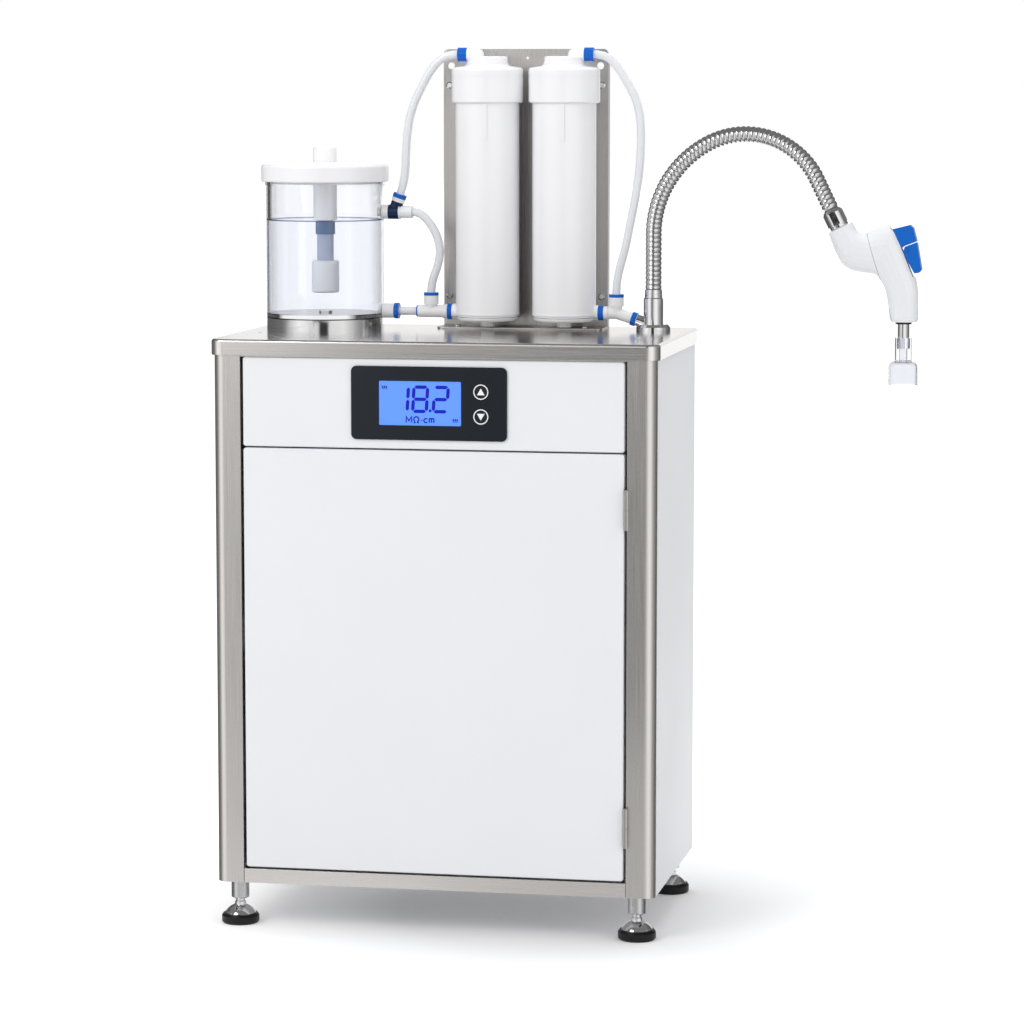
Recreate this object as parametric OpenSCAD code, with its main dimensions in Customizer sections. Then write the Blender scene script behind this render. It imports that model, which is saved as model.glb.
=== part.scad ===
// Ultrapure water system: a floor-standing stainless cabinet with a storage tank,
// two polishing filters and a dispensing gun on a swivelling gooseneck.
// Sizes are millimetres, angles degrees. +Z is up and the door faces -Y.

/* [Cabinet] */
// Width over the corner posts
cab_w = 494; // [470:1:560]
// Depth over the side panels
cab_d = 290; // [280:1:360]
// Height of the top plate's upper face above the floor
cab_h = 656; // [640:1:760]
// Height of the frame's underside above the floor
leg_h = 49.5; // [46:0.5:60]
// Width of a front corner post
post_w = 31.5; // [30:0.5:36]
// Depth of a corner post
post_d = 28; // [26:0.5:32]
// Outer corner radius of a front post
post_r = 12; // [8:0.5:14]
// Wall of the folded stainless posts and rails
post_t = 2; // [1.5:0.25:3]
// Height of the bottom rails
rail_h = 16; // [14:0.5:24]
// Thickness of the side, rear and base sheets
sheet_t = 1.5; // [1:0.25:2]
// Gap beside the door and the control fascia
gap = 3; // [2.5:0.25:4]
// Gap between the door and the control fascia
door_gap = 1.8; // [1.5:0.1:3]
// Overhang of the top plate past the posts
top_over = 3; // [2.5:0.5:6]
// Depth of the top plate's folded lip
lip_h = 17.5; // [16:0.5:24]
// Corner radius of the top plate
top_r = 14; // [12:1:20]
// Thickness of the top plate
top_t = 1.5; // [1.2:0.1:2]
// Height of the control fascia
fascia_h = 98.5; // [92:0.5:120]
// Depth of the returns of the door and of the fascia
return_d = 18; // [16:0.5:20]
// Number of louvre slots in the rear panel
louvres = 9; // [4:1:12]

/* [Levelling feet] */
// Distance of a foot's axis from the cabinet's side
foot_in_x = 22; // [21:0.5:23]
// Distance of a foot's axis from the cabinet's front or back
foot_in_y = 20; // [18:0.5:20.5]
// Diameter of a foot's brushed sleeve
sleeve_dia = 20; // [18:0.5:22]
// Height of a foot's brushed sleeve
sleeve_h = 21; // [16:0.5:23]
// Diameter of a foot's spindle
spindle_dia = 10; // [8:0.5:12]
// Diameter of a foot's chrome dome
dome_dia = 34.5; // [28:0.5:36]
// Diameter of a foot's rubber pad
pad_dia = 42; // [38:1:46]
// Height of a foot's rubber pad
pad_h = 11; // [9:0.5:12]

/* [Door hinges] */
// Diameter of a hinge barrel
barrel_dia = 6.3; // [6:0.1:7]
// Length of a hinge
hinge_h = 44; // [36:1:60]
// Diameter of a hinge pin
hinge_pin_dia = 3.4; // [3:0.1:4]
// Distance of a hinge's end from the door's top or bottom
hinge_in = 38; // [30:1:60]

/* [Control panel] */
// Width of the display bezel
bezel_w = 173.5; // [165:0.5:190]
// Height of the display bezel
bezel_h = 80.5; // [78:0.5:84]
// Corner radius of the display bezel
bezel_r = 6; // [4:0.5:9]
// Sideways place of the bezel's centre from the cabinet's centre
bezel_x = -3; // [-20:1:20]
// Width of the display window
lcd_w = 91.5; // [84:0.5:96]
// Height of the display window
lcd_h = 48.5; // [44:0.5:54]
// Diameter of a push button
button_dia = 16.8; // [14:0.2:18]
// Distance between the two buttons
button_pitch = 27; // [24:0.5:30]
// Travel of a push button
button_travel = 1; // [0.5:0.1:1.2]

/* [Storage tank] */
// Outer diameter of the clear vessel
tank_dia = 135; // [120:1:140]
// Wall of the clear vessel
tank_wall = 4; // [3:0.5:5]
// Height of the clear vessel
tank_h = 154.8; // [148:0.1:180]
// Diameter of the lid
lid_dia = 146; // [143:1:150]
// Height of the lid
lid_h = 22.2; // [19:0.1:28]
// Height of the chrome ring under the vessel
ring_h = 12.5; // [10:0.5:16]
// Place of the tank's axis from the cabinet's left side
tank_x = 75; // [72:1:80]
// Diameter of the float's guide tube and of its knob
guide_dia = 27; // [24:0.5:30]
// Length of the guide tube below the lid
guide_len = 44.3; // [36:0.1:50]
// Length of the float's stem below the guide tube
stem_len = 58; // [54:0.5:62]
// Diameter of the float's stem
stem_dia = 18.5; // [16:0.5:19.5]
// Diameter of the float
float_dia = 30.5; // [28:0.5:34]
// Length of the float
float_len = 37; // [34:0.5:42]

/* [Filters] */
// Diameter of a filter canister
can_dia = 72.5; // [66:0.5:76]
// Diameter of a canister's cap
cap_dia = 81; // [79:0.5:85]
// Height of the canister's cap without its crown
cap_h = 41; // [36:0.5:50]
// Diameter of the crown on a cap
crown_dia = 45.5; // [42:0.5:50]
// Height of the crown on a cap
crown_h = 11.5; // [9:0.5:14]
// Height of a canister's underside above the top plate
can_lift = 10; // [9.5:0.5:14]
// Length of a canister up to its cap
can_len = 247; // [230:1:280]
// Distance between the two canisters
can_pitch = 88.7; // [86:0.1:92]
// Place of the right canister's tee from the gooseneck's axis
tee_in = 42.55; // [42:0.05:50]
// Width of the backplate
back_w = 191.5; // [180:0.5:210]
// Thickness of the backplate
back_t = 2; // [1.5:0.25:3]

/* [Tubing] */
// Outer diameter of the water tubes
tube_dia = 9.5; // [8:0.1:10]
// Bore of the water tubes
tube_bore = 6.5; // [5:0.1:7]
// Diameter of a push-fit fitting's body
fit_dia = 14; // [13:0.5:15]
// Diameter of a push-fit fitting's collar
collar_dia = 17; // [16:0.5:18]
// Height of the lower fittings above the top plate
low_port_h = 20; // [17:0.5:21]
// Height of the tank's upper fitting above the top plate
high_port_h = 133; // [120:1:140]

/* [Gooseneck] */
// Place of the gooseneck's axis from the cabinet's right side
neck_in = 37.5; // [30:0.5:42]
// Diameter of the chrome flange
flange_dia = 39; // [34:0.5:44]
// Diameter of the chrome collar
neck_collar_dia = 22.4; // [20:0.2:24]
// Height of the chrome collar's top above the top plate
neck_collar_h = 42; // [38:0.5:50]
// Outer diameter of the ribbed hose
hose_dia = 18.6; // [16:0.1:20]
// Depth of the grooves between the hose's ribs
rib_depth = 1.1; // [0.6:0.1:1.5]
// Distance from rib to rib
rib_pitch = 5.4; // [5:0.1:6.5]
// Bore of the ribbed hose
hose_bore = 9; // [6:0.5:11]
// Straight length of the hose above its lower ferrule
hose_riser = 62.5; // [50:0.5:80]
// Straight length of the hose before its end nut
hose_tail = 39.5; // [20:0.5:45]
// Diameter of the hose's end nut
nut_dia = 23.5; // [22:0.5:26]
// Length of the hose's end nut
nut_len = 22; // [18:0.5:26]

/* [Dispensing gun] */
// Width of the gun's trigger
trigger_w = 15; // [12:0.5:16]
// Angle through which the trigger is squeezed
trigger_turn = 7; // [4:0.5:8]
// Diameter of the chrome outlet tube
outlet_dia = 13.2; // [12:0.1:14]
// Length of the outlet tube that shows
outlet_len = 15.5; // [12:0.5:20]
// Diameter of the clear adaptor
adaptor_dia = 18.8; // [17:0.1:20]
// Length of the clear adaptor
adaptor_len = 25.5; // [20:0.5:30]
// Diameter of the clear bell
bell_dia = 33; // [30:0.5:36]
// Height of the clear bell
bell_h = 27; // [24:0.5:32]
// Wall of the clear bell and adaptor
bell_wall = 2; // [1.5:0.1:2.5]

/* [Inside the cabinet] */
// Diameter of a pre-filter bowl
bowl_dia = 92; // [86:1:96]
// Height of a pre-filter bowl
bowl_h = 235; // [200:1:250]
// Distance from one pre-filter to the next
bowl_pitch = 116; // [114:1:118]
// Diameter of the membrane housing
membrane_dia = 62; // [54:1:66]
// Diameter of the pump's motor
motor_dia = 56; // [50:1:60]

/* [Hidden] */
$fn = 64;
// The tank and the filters share the width that their fittings leave, and so do the
// bowls inside: each scale is 1 where the row just fills the cabinet.
tee1_off = 29.5;
tee2_off = 24;
loop_room = 56.75;
row_scale = (cab_w - neck_in - tee_in - tee2_off - tee1_off - loop_room)
    / (can_pitch + can_dia + tank_dia / 2 + tank_x);
left_x = 38;
right_x = cab_w - 54;
bowl_left = 21;
bowl_right = 57;
bowl_scale = (right_x - left_x - bowl_left - bowl_right) / (2 * bowl_pitch + bowl_dia);

// Colours, as the photograph shows them
steel = [0.70, 0.70, 0.71];
chrome = [0.85, 0.85, 0.87];
powder_white = [0.93, 0.94, 0.95];
plastic_white = [0.96, 0.96, 0.97];
clear_plastic = [0.86, 0.90, 0.95, 0.45];
water_blue = [0.55, 0.66, 0.82];
collet_blue = [0.04, 0.36, 0.82];
navy = [0.05, 0.17, 0.36];
trigger_blue = [0.04, 0.38, 0.80];
bezel_black = [0.13, 0.16, 0.19];
lcd_blue = [0.42, 0.60, 1.00];
rubber_black = [0.06, 0.06, 0.06];
board_green = [0.08, 0.35, 0.20];

// Small clearances that several pieces share
running_gap = 0.05;
seat_gap = 0.2;
slide_gap = 0.3;
eps = 0.01;

// Cabinet coordinates: X from the left post's outer face, Y from the front face,
// Z from the floor.
plate_under = cab_h - top_t;
post_h = plate_under - leg_h;
post_step = 0.6;
rail_d = 22;
foot_plate_t = 3;
side_y = post_r + post_step;
inner_x = sheet_t + rail_d;
opening_x = post_w + gap;
opening_w = cab_w - 2 * opening_x;
fascia_top = cab_h - lip_h - 1.5;
fascia_z = fascia_top - fascia_h;
top_rail_h = plate_under - fascia_top - seat_gap;
door_z = leg_h + rail_h + 2;
door_h = fascia_z - door_gap - door_z;
door_t = 1.2;
base_z = leg_h + rail_h + sheet_t;
rear_y = cab_d - sheet_t;

// The services on the top plate stand in one plane, parallel to the front.
service_y = 220;
tank_z = cab_h + ring_h;
lid_z = tank_z + tank_h + seat_gap;
lid_top = lid_z + lid_h;
low_z = cab_h + low_port_h;
high_z = cab_h + high_port_h;
can_z = cab_h + can_lift;
can_r = can_dia / 2 * row_scale;
cap_r = cap_dia / 2 * row_scale;
crown_r = crown_dia / 2 * row_scale;
neck_x = cab_w - neck_in;
neck_top = cab_h + neck_collar_h;
tee2_x = neck_x - tee_in;
can2_x = tee2_x - tee2_off - can_r;
can_x = can2_x - can_pitch * row_scale;
can_top = can_z + can_len;
cap_top = can_top + cap_h;
crown_top = cap_top + crown_h;
cap_port_z = crown_top + 2;
back_y = service_y + cap_r + 2.75;
back_h = crown_top + 8.5 - cab_h;
plate_w = back_w * row_scale;
back_x = (can_x + can2_x) / 2 - 8.4 - plate_w / 2;

// Hinges stand proud of the front, over the gap at the door's right edge.
hinge_x = cab_w - post_w;
hinge_y = -barrel_dia / 2 - slide_gap;
leaf_t = gap / 2 - 0.2;
hinge_zs = [door_z + hinge_in, door_z + door_h - hinge_in - hinge_h];

// Control panel
bezel_proud = 2;
bezel_deep = 8;
bezel_cx = cab_w / 2 + bezel_x;
bezel_cz = fascia_z + fascia_h / 2 + 1;
lcd_dx = -9.8;
lcd_r = 1.5;
button_dx = 58;
button_proud = 0.6;
button_zs = [bezel_cz + button_pitch / 2, bezel_cz - button_pitch / 2];
shoulder_y = 3;
flange_t = 1.5;
board_y = bezel_deep + 3;
board_t = 1.6;

// Storage tank and float
tank_r = tank_dia / 2 * row_scale;
lid_r = lid_dia / 2 * row_scale;
tank_cx = tank_x * row_scale;
tank_floor = 5;
guide_z = lid_z - guide_len;
collar_len = 14;
float_top = guide_z - stem_len + 12;
float_travel = 25;
float_wall = 2.4;
bead_h = 4;

// Push-fit fittings
fit_r = fit_dia / 2;
push_r = collar_dia / 2;
tube_r = tube_dia / 2;
ring_len = 5.2;
tank_port_len = 14;
out_tube_x = tank_cx + tank_r + tank_port_len;
tee1_x = can_x - can_r - tee1_off;
stub_in = 4.5;
stub_out = 3.5;
can_left_port = can_x - can_r - stub_in;
can_right_port = can2_x + can_r + stub_out;
branch_h = 18;
branch_ring = 3.4;
branch_tilt = 70;
tank_tee_x = tank_cx + tank_r + 13.5;
tank_tee_end = tank_tee_x + 21.5;

// Gooseneck: straight, three bends that meet smoothly, straight. Radius and angle.
hose_bends = [[115.5, 62.5], [90, 82], [77, 9.5]];
hose_foot = [neck_x, neck_top + 5.2];
hose_runs = concat([[hose_riser, 0]], hose_bends, [[hose_tail, 0]]);
// The angle that the bends above leave between the hose's end and the horizontal
gun_pitch = 64;

function unit2(a) = [cos(a), sin(a)];
// The length of one run: a straight one has its length first and no angle
function run_len(run) = run[1] == 0 ? run[0] : run[0] * run[1] * PI / 180;
// The state [x, z, heading] a distance s along one run
function along(state, run, s) =
    run[1] == 0
    ? [state[0] + s * cos(state[2]), state[1] + s * sin(state[2]), state[2]]
    : let (a = s / run[0] * 180 / PI, h = state[2], r = run[0])
      [state[0] + r * (sin(h) - sin(h - a)), state[1] - r * (cos(h) - cos(h - a)), h - a];
// The state at the start of run i
function run_start(i) =
    i == 0 ? [hose_foot[0], hose_foot[1], 90]
    : along(run_start(i - 1), hose_runs[i - 1], run_len(hose_runs[i - 1]));
function hose_state(s, i = 0) =
    let (length = run_len(hose_runs[i]))
    s <= length || i == len(hose_runs) - 1
    ? along(run_start(i), hose_runs[i], s)
    : hose_state(s - length, i + 1);
function total(v, i = 0) = i == len(v) ? 0 : v[i] + total(v, i + 1);
hose_len = total([for (run = hose_runs) run_len(run)]);
hose_end = hose_state(hose_len);
rib_count = floor(hose_len / rib_pitch);
rib_step = hose_len / rib_count;
nut_end = [hose_end[0] + nut_len * cos(hose_end[2]), hose_end[1] + nut_len * sin(hose_end[2])];

// Dispensing gun, in its own plane: X and Z from the centre of the end nut's face.
// Each section has a point on its outer side, one on its inner side and a half width.
function elbow_seat(s) = s * unit2(90 - gun_pitch) + seat_gap * unit2(-gun_pitch);
elbow_rim = nut_dia / 2 + 2.4;
elbow_sections = [
    [elbow_seat(-elbow_rim), elbow_seat(elbow_rim + 1.4), 14.4], [[-7.5, -19.5], [18, -0.5], 14.6],
    [[-3, -30], [21.5, -4.3], 14.8], [[3.5, -40.5], [25, -5.8], 15],
    [[14, -47], [27, -6.2], 15], [[26.5, -49.4], [28.2, -6.2], 15],
    [[39, -51], [29, -6], 15]
];
handle_sections = [
    [[39, -51], [29, -6], 15], [[41.8, -53], [37, -2.2], 15.2],
    [[44.2, -55.6], [47, 1.2], 15.2], [[46.4, -58.6], [55.5, 3.2], 15.2],
    [[48.6, -62], [61, 0.6], 15], [[50.6, -66], [66, -9.4], 14.8],
    [[52.2, -71], [71.2, -20.4], 14.6], [[53.5, -76.5], [76.4, -33], 14.4],
    [[54.5, -82], [81.4, -45.4], 14.4], [[55.4, -88], [86, -57], 14.4],
    [[56, -94], [88.2, -70], 14.4], [[56.5, -98], [88.5, -85], 14.4],
    [[56.8, -101.9], [88.5, -101.9], 14.4], [[59.4, -104.4], [86, -104.4], 12.2]
];
cap_outline = [
    [57, -5], [60.5, -0.6], [78.9, 4], [82.6, 0.7], [86.6, -14.2], [72.6, -19.6], [66.5, -24.5]
];
lever_outline = [
    [73.2, -20.3], [86.9, -15.1], [92.3, -45.7], [89.8, -48.9], [84.2, -49.8], [76.6, -36],
    [71.8, -25.5]
];
slot_outline = [
    [56.3, 8], [56.9, -5], [66.5, -24.5], [70.4, -37], [76.5, -54], [95, -54], [98, 8]
];
trigger_pivot = [75.4, -24];
trunnion_r = 1.5;
outlet_x = 72.4;
handle_end = -104.4;
seal_h = 2.3;
outlet_in = 9;
outlet_overlap = 12;
gun_reach = max([for (p = lever_outline) p[0]]);

// The row's origin is under the middle of the whole object's box.
bulkhead_out = 22;
origin_x = (nut_end[0] + gun_reach - top_over) / 2;
origin_y = (hinge_y - barrel_dia / 2 + cab_d + bulkhead_out) / 2;

// Inside the cabinet
rail_z = 498;
bracket_t = 2;
bracket_y = 150;
bowl_r = bowl_dia / 2 * bowl_scale;
bowl_step = bowl_pitch * bowl_scale;
bowl_x0 = left_x + bowl_left + bowl_r;
bowl_y = 200;
bowl_top = rail_z - 30;
head_port_z = bowl_top + 15;
head_r = bowl_r + 2;
head_port = bowl_step / 2 - 6;
membrane_stub = 22;
membrane_x = bowl_x0 - head_port + membrane_stub;
membrane_len = 2 * (bowl_step + head_port - membrane_stub);
membrane_y = 215;
membrane_z = rail_z + bracket_t + membrane_dia / 2 + 6;
feed_x = 60;
feed_z = 110;
drain_x = 104;
drain_z = 150;
bulkhead_in = 18;
pump_x = cab_w - 94;
pump_y = 190;
supply_x = 130;
pipe_r = tube_dia / 2;

module placed() {
    translate([-origin_x, -origin_y, 0]) children();
}

module mirrored_x() {
    children();
    translate([cab_w, 0, 0]) mirror([1, 0, 0]) children();
}

// A cylinder along X, or along any heading in the service plane
module rod_x(x0, x1, r) {
    translate([x0, 0, 0]) rotate([0, 90, 0]) cylinder(h = x1 - x0, r = r);
}

module ring_x(x0, x1, r, bore) {
    difference() {
        rod_x(x0, x1, r);
        rod_x(x0 - 1, x1 + 1, bore);
    }
}

module in_plane(x, z, heading = 0) {
    translate([x, service_y, z]) rotate([0, -heading, 0]) children();
}

module rounded_square(w, h, r) {
    union() {
        translate([r, 0]) square([w - 2 * r, h]);
        translate([0, r]) square([w, h - 2 * r]);
        for (x = [r, w - r], y = [r, h - r]) translate([x, y]) circle(r);
    }
}

module box_tube(size, t, along_x) {
    difference() {
        cube(size);
        if (along_x) translate([-1, t, t]) cube([size[0] + 2, size[1] - 2 * t, size[2] - 2 * t]);
        else translate([t, -1, t]) cube([size[0] - 2 * t, size[1] + 2, size[2] - 2 * t]);
    }
}

// Section of a folded edge: the wall outside, the flat sheet above, a rolled edge
module fold_section(h, t, rc, re) {
    difference() {
        union() {
            square([rc, h - re]);
            square([rc - re, h]);
            intersection() {
                translate([rc - re, h - re]) circle(re);
                square([rc, h]);
            }
        }
        translate([-1, -1]) square([rc - t + 1, h - re + 1]);
        translate([-1, -1]) square([rc - re + 1, h - t + 1]);
        translate([rc - re, h - re]) circle(re - t);
    }
}

// A tray folded from one sheet, open below, with round corners and rolled edges,
// and a radius of its own at the far pair of corners
module folded_tray(w, d, h, t, near_r, far_r, re) {
    for (corner = [[0, w - far_r, d - far_r, far_r], [90, far_r, d - far_r, far_r],
                   [180, near_r, near_r, near_r], [270, w - near_r, near_r, near_r]])
        translate([corner[1], corner[2], 0]) rotate([0, 0, corner[0]])
            rotate_extrude(angle = 90) fold_section(h, t, corner[3], re);
    side = d - near_r - far_r;
    for (edge = [[0, w - far_r, near_r, side], [90, w - far_r, d - far_r, w - 2 * far_r],
                 [180, far_r, d - far_r, side], [270, near_r, far_r, w - 2 * near_r]])
        translate([edge[1], edge[2], 0]) rotate([0, 0, edge[0]])
            rotate([90, 0, 0]) mirror([0, 0, 1]) linear_extrude(edge[3]) fold_section(h, t, far_r, re);
    translate([far_r, near_r, h - t]) cube([w - 2 * far_r, side, t]);
    if (near_r > far_r)
        translate([near_r, far_r, h - t]) cube([w - 2 * near_r, near_r - far_r + eps, t]);
}

// Rings along a path: each ring faces along the path, with no twist
function normed(v) = v / norm(v);
function tangent(path, i) =
    let (n = len(path) - 1)
    i == 0 ? normed(path[1] - path[0])
    : i == n ? normed(path[n] - path[n - 1])
    : normed(normed(path[i + 1] - path[i]) + normed(path[i] - path[i - 1]));
function side_of(t, u) = normed(u - (u * t) * t);
function first_side(t) = side_of(t, abs(t[1]) < 0.9 ? [0, 1, 0] : [1, 0, 0]);
function path_sides(path) =
    [for (i = 0, u = first_side(tangent(path, 0)); i < len(path);
          i = i + 1, u = i < len(path) ? side_of(tangent(path, i), u) : u) u];
function path_ring(path, sides, i, r, n) =
    let (t = tangent(path, i), u = sides[i], v = cross(t, u))
    [for (k = [0 : n - 1]) path[i] + r * (cos(360 * k / n) * u + sin(360 * k / n) * v)];
// Triangles between rows of n points each; flip turns them inside out
function skin(rows, n, first, flip) =
    [for (i = [0 : rows - 2], k = [0 : n - 1], half = [0, 1])
        let (a = first + i * n + k, b = first + i * n + (k + 1) % n, c = a + n, d = b + n)
        half == 0 ? (flip ? [a, c, b] : [a, b, c]) : (flip ? [b, c, d] : [b, d, c])];
function annulus(outer, inner, n, flip) =
    [for (k = [0 : n - 1], half = [0, 1])
        let (a = outer + k, b = outer + (k + 1) % n, c = inner + k, d = inner + (k + 1) % n)
        half == 0 ? (flip ? [a, b, c] : [a, c, b]) : (flip ? [b, d, c] : [b, c, d])];

// A tube with a bore: radii holds the outer radius at each point of the path
module bored_sweep(path, radii, bore_path, bore, n) {
    sides = path_sides(path);
    bore_sides = path_sides(bore_path);
    outer = [for (i = [0 : len(path) - 1]) each path_ring(path, sides, i, radii[i], n)];
    inner = [for (i = [0 : len(bore_path) - 1]) each path_ring(bore_path, bore_sides, i, bore, n)];
    rows = len(path);
    bore_rows = len(bore_path);
    base = rows * n;
    polyhedron(
        points = concat(outer, inner),
        faces = concat(
            skin(rows, n, 0, true),
            skin(bore_rows, n, base, false),
            annulus(0, base, n, true),
            annulus((rows - 1) * n, base + (bore_rows - 1) * n, n, false)
        )
    );
}

module tube_sweep(path, n = 10) {
    bored_sweep(path, [for (p = path) tube_r], path, tube_bore / 2, n);
}

module solid_sweep(path, r, n = 8) {
    sides = path_sides(path);
    rows = len(path);
    polyhedron(
        points = [for (i = [0 : rows - 1]) each path_ring(path, sides, i, r, n)],
        faces = concat(
            skin(rows, n, 0, true),
            [[for (k = [0 : n - 1]) k]],
            [[for (k = [n - 1 : -1 : 0]) (rows - 1) * n + k]]
        )
    );
}

// A point on the cubic curve with ends a and d
function curve_point(a, b, c, d, t) =
    pow(1 - t, 3) * a + 3 * pow(1 - t, 2) * t * b + 3 * (1 - t) * t * t * c + pow(t, 3) * d;

// A pipe's corners, each rounded with four short steps
function rounded_path(p, r) = concat(
    [p[0]],
    [for (i = [1 : len(p) - 2], k = [0 : 4])
        let (a = p[i] + r * normed(p[i - 1] - p[i]), b = p[i] + r * normed(p[i + 1] - p[i]), t = k / 4)
        (1 - t) * (1 - t) * a + 2 * t * (1 - t) * p[i] + t * t * b],
    [p[len(p) - 1]]
);

// Smooth values between four neighbours
function blend4(a, b, c, d, t) =
    0.5 * (2 * b + (c - a) * t + (2 * a - 5 * b + 4 * c - d) * t * t
           + (3 * b - 3 * c + d - a) * t * t * t);
function clamped(v, i) = v[max(0, min(len(v) - 1, i))];
function dense(v, per) = [for (i = [0 : len(v) - 2], k = [0 : per - 1])
    let (a = clamped(v, i - 1), b = v[i], c = v[i + 1], d = clamped(v, i + 2), t = k / per)
    [blend4(a[0], b[0], c[0], d[0], t), blend4(a[1], b[1], c[1], d[1], t),
     blend4(a[2], b[2], c[2], d[2], t)]];
function softened(x) = sign(x) * pow(abs(x), 0.86);
function loft_ring(s, n) =
    [for (k = [0 : n - 1])
        let (a = 360 * k / n, m = (s[0] + s[1]) / 2, h = (s[1] - s[0]) / 2)
        let (p = m + h * softened(cos(a)))
        [p[0], s[2] * softened(sin(a)), p[1]]];

module moulded_loft(sections, per, n) {
    rows = concat(dense(sections, per), [sections[len(sections) - 1]]);
    count = len(rows);
    polyhedron(
        points = [for (s = rows) each loft_ring(s, n)],
        faces = concat(
            skin(count, n, 0, false),
            [[for (k = [n - 1 : -1 : 0]) k]],
            [[for (k = [0 : n - 1]) (count - 1) * n + k]]
        )
    );
}

// ---- Frame and casing -------------------------------------------------------

module post_section() {
    difference() {
        union() {
            intersection() {
                translate([post_r, post_r]) circle(post_r);
                square(post_r);
            }
            translate([post_r, 0]) square([post_w - post_r, post_d]);
            translate([sheet_t, post_r]) square([post_r, post_d - post_r]);
        }
        intersection() {
            translate([post_r, post_r]) circle(post_r - post_t);
            square(post_r);
        }
        translate([post_r - eps, post_t])
            square([post_w - post_t - post_r + eps, post_d - 2 * post_t]);
        translate([sheet_t + post_t, post_r - eps])
            square([post_r, post_d - post_t - post_r + eps]);
    }
}

module foot_hole(y) {
    translate([foot_in_x, y, leg_h - 1]) cylinder(h = foot_plate_t + 2, d = spindle_dia + 1);
}

module front_post() {
    difference() {
        union() {
            translate([0, 0, leg_h]) linear_extrude(post_h) post_section();
            translate([post_r, post_t - eps, leg_h])
                cube([post_w - post_r - post_t / 2, post_d - 2 * post_t + 2 * eps, foot_plate_t]);
        }
        foot_hole(foot_in_y);
    }
}

module rear_post() {
    y0 = rear_y - post_d;
    difference() {
        translate([sheet_t, y0, leg_h]) difference() {
            cube([post_d, post_d, post_h]);
            translate([post_t, -1, foot_plate_t])
                cube([post_d, post_d - post_t + 1, post_h + 1]);
        }
        foot_hole(cab_d - foot_in_y);
    }
}

module frame_posts() {
    color(steel) placed() mirrored_x() {
        front_post();
        rear_post();
    }
}

module frame_rails() {
    seam = 0.6;
    front_len = cab_w - 2 * (post_w + seam);
    rear_len = cab_w - 2 * (sheet_t + post_d);
    side_len = rear_y - 2 * post_d;
    color(steel) placed() {
        for (level = [[leg_h, rail_h], [plate_under - top_rail_h, top_rail_h]]) {
            translate([post_w + seam, 0, level[0]]) box_tube([front_len, rail_d, level[1]], post_t, true);
            translate([sheet_t + post_d, rear_y - rail_d, level[0]])
                box_tube([rear_len, rail_d, level[1]], post_t, true);
            mirrored_x() translate([sheet_t, post_d, level[0]])
                box_tube([rail_d, side_len, level[1]], post_t, false);
        }
    }
}

module base_panel() {
    z = leg_h + rail_h;
    notch_y = post_d + 2;
    color(powder_white) placed() union() {
        translate([post_w + 2, rail_d - 3, z])
            cube([cab_w - 2 * post_w - 4, rear_y - rail_d + 2, sheet_t]);
        translate([sheet_t + 4, notch_y, z])
            cube([cab_w - 2 * sheet_t - 8, rear_y - 2 * notch_y, sheet_t]);
    }
}

module side_panel() {
    translate([0, side_y, leg_h]) cube([sheet_t, cab_d - side_y, post_h]);
}

module left_side_panel() {
    color(powder_white) placed() side_panel();
}

module right_side_panel() {
    color(powder_white) placed() translate([cab_w, 0, 0]) mirror([1, 0, 0]) side_panel();
}

module rear_slot(len, h) {
    translate([0, 4, 0]) rotate([90, 0, 0]) linear_extrude(8) union() {
        translate([h / 2, 0]) square([len - h, h]);
        for (x = [h / 2, len - h / 2]) translate([x, h / 2]) circle(h / 2);
    }
}

module rear_panel() {
    slot_x = 150;
    slot_len = (cab_w - 2 * slot_x - 14) / 2;
    slot_h = 5;
    color(powder_white) placed() difference() {
        translate([sheet_t, rear_y, leg_h]) cube([cab_w - 2 * sheet_t, sheet_t, post_h]);
        for (i = [0 : louvres - 1], x = [slot_x, cab_w - slot_x - slot_len])
            translate([x, rear_y, 530 - 14 * i]) rear_slot(slot_len, slot_h);
        for (hole = [[feed_x, feed_z], [drain_x, drain_z]])
            translate([hole[0], rear_y - 1, hole[1]])
                rotate([-90, 0, 0]) cylinder(h = sheet_t + 2, r = push_r + running_gap);
        translate([supply_x + 20, rear_y - 1, base_z + 12]) cube([48, sheet_t + 2, 28]);
    }
}

module top_plate() {
    color(steel) placed() difference() {
        translate([-top_over, -top_over, cab_h - lip_h])
            folded_tray(cab_w + 2 * top_over, cab_d + 2 * top_over, lip_h, top_t, top_r, top_over + 1, 3);
        translate([neck_x, service_y, cab_h - 5]) cylinder(h = 10, r = 8.1);
        translate([24, 118, cab_h - 5]) cylinder(h = 10, r = 3);
    }
}

module upright_tray(x, z, w, h) {
    translate([x, return_d, z]) rotate([90, 0, 0]) folded_tray(w, h, return_d, door_t, 3, 3, 1.8);
}

module control_fascia() {
    margin = 6;
    color(powder_white) placed() difference() {
        upright_tray(opening_x, fascia_z, opening_w, fascia_h);
        translate([bezel_cx - bezel_w / 2 + margin, -1, bezel_cz - bezel_h / 2 + margin])
            cube([bezel_w - 2 * margin, 5, bezel_h - 2 * margin]);
    }
}

// ---- Control panel ----------------------------------------------------------

module bezel_block(w, h, r, y0, y1, dx = 0) {
    translate([bezel_cx + dx - w / 2, y1, bezel_cz - h / 2]) rotate([90, 0, 0])
        linear_extrude(y1 - y0) rounded_square(w, h, r);
}

module button_bores() {
    for (z = button_zs) translate([bezel_cx + button_dx, 0, z]) rotate([-90, 0, 0]) {
        translate([0, 0, -bezel_proud - 1]) cylinder(h = 20, d = button_dia + 2 * slide_gap);
        translate([0, 0, shoulder_y]) cylinder(h = 20, d = button_dia + 3.2);
    }
}

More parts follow.
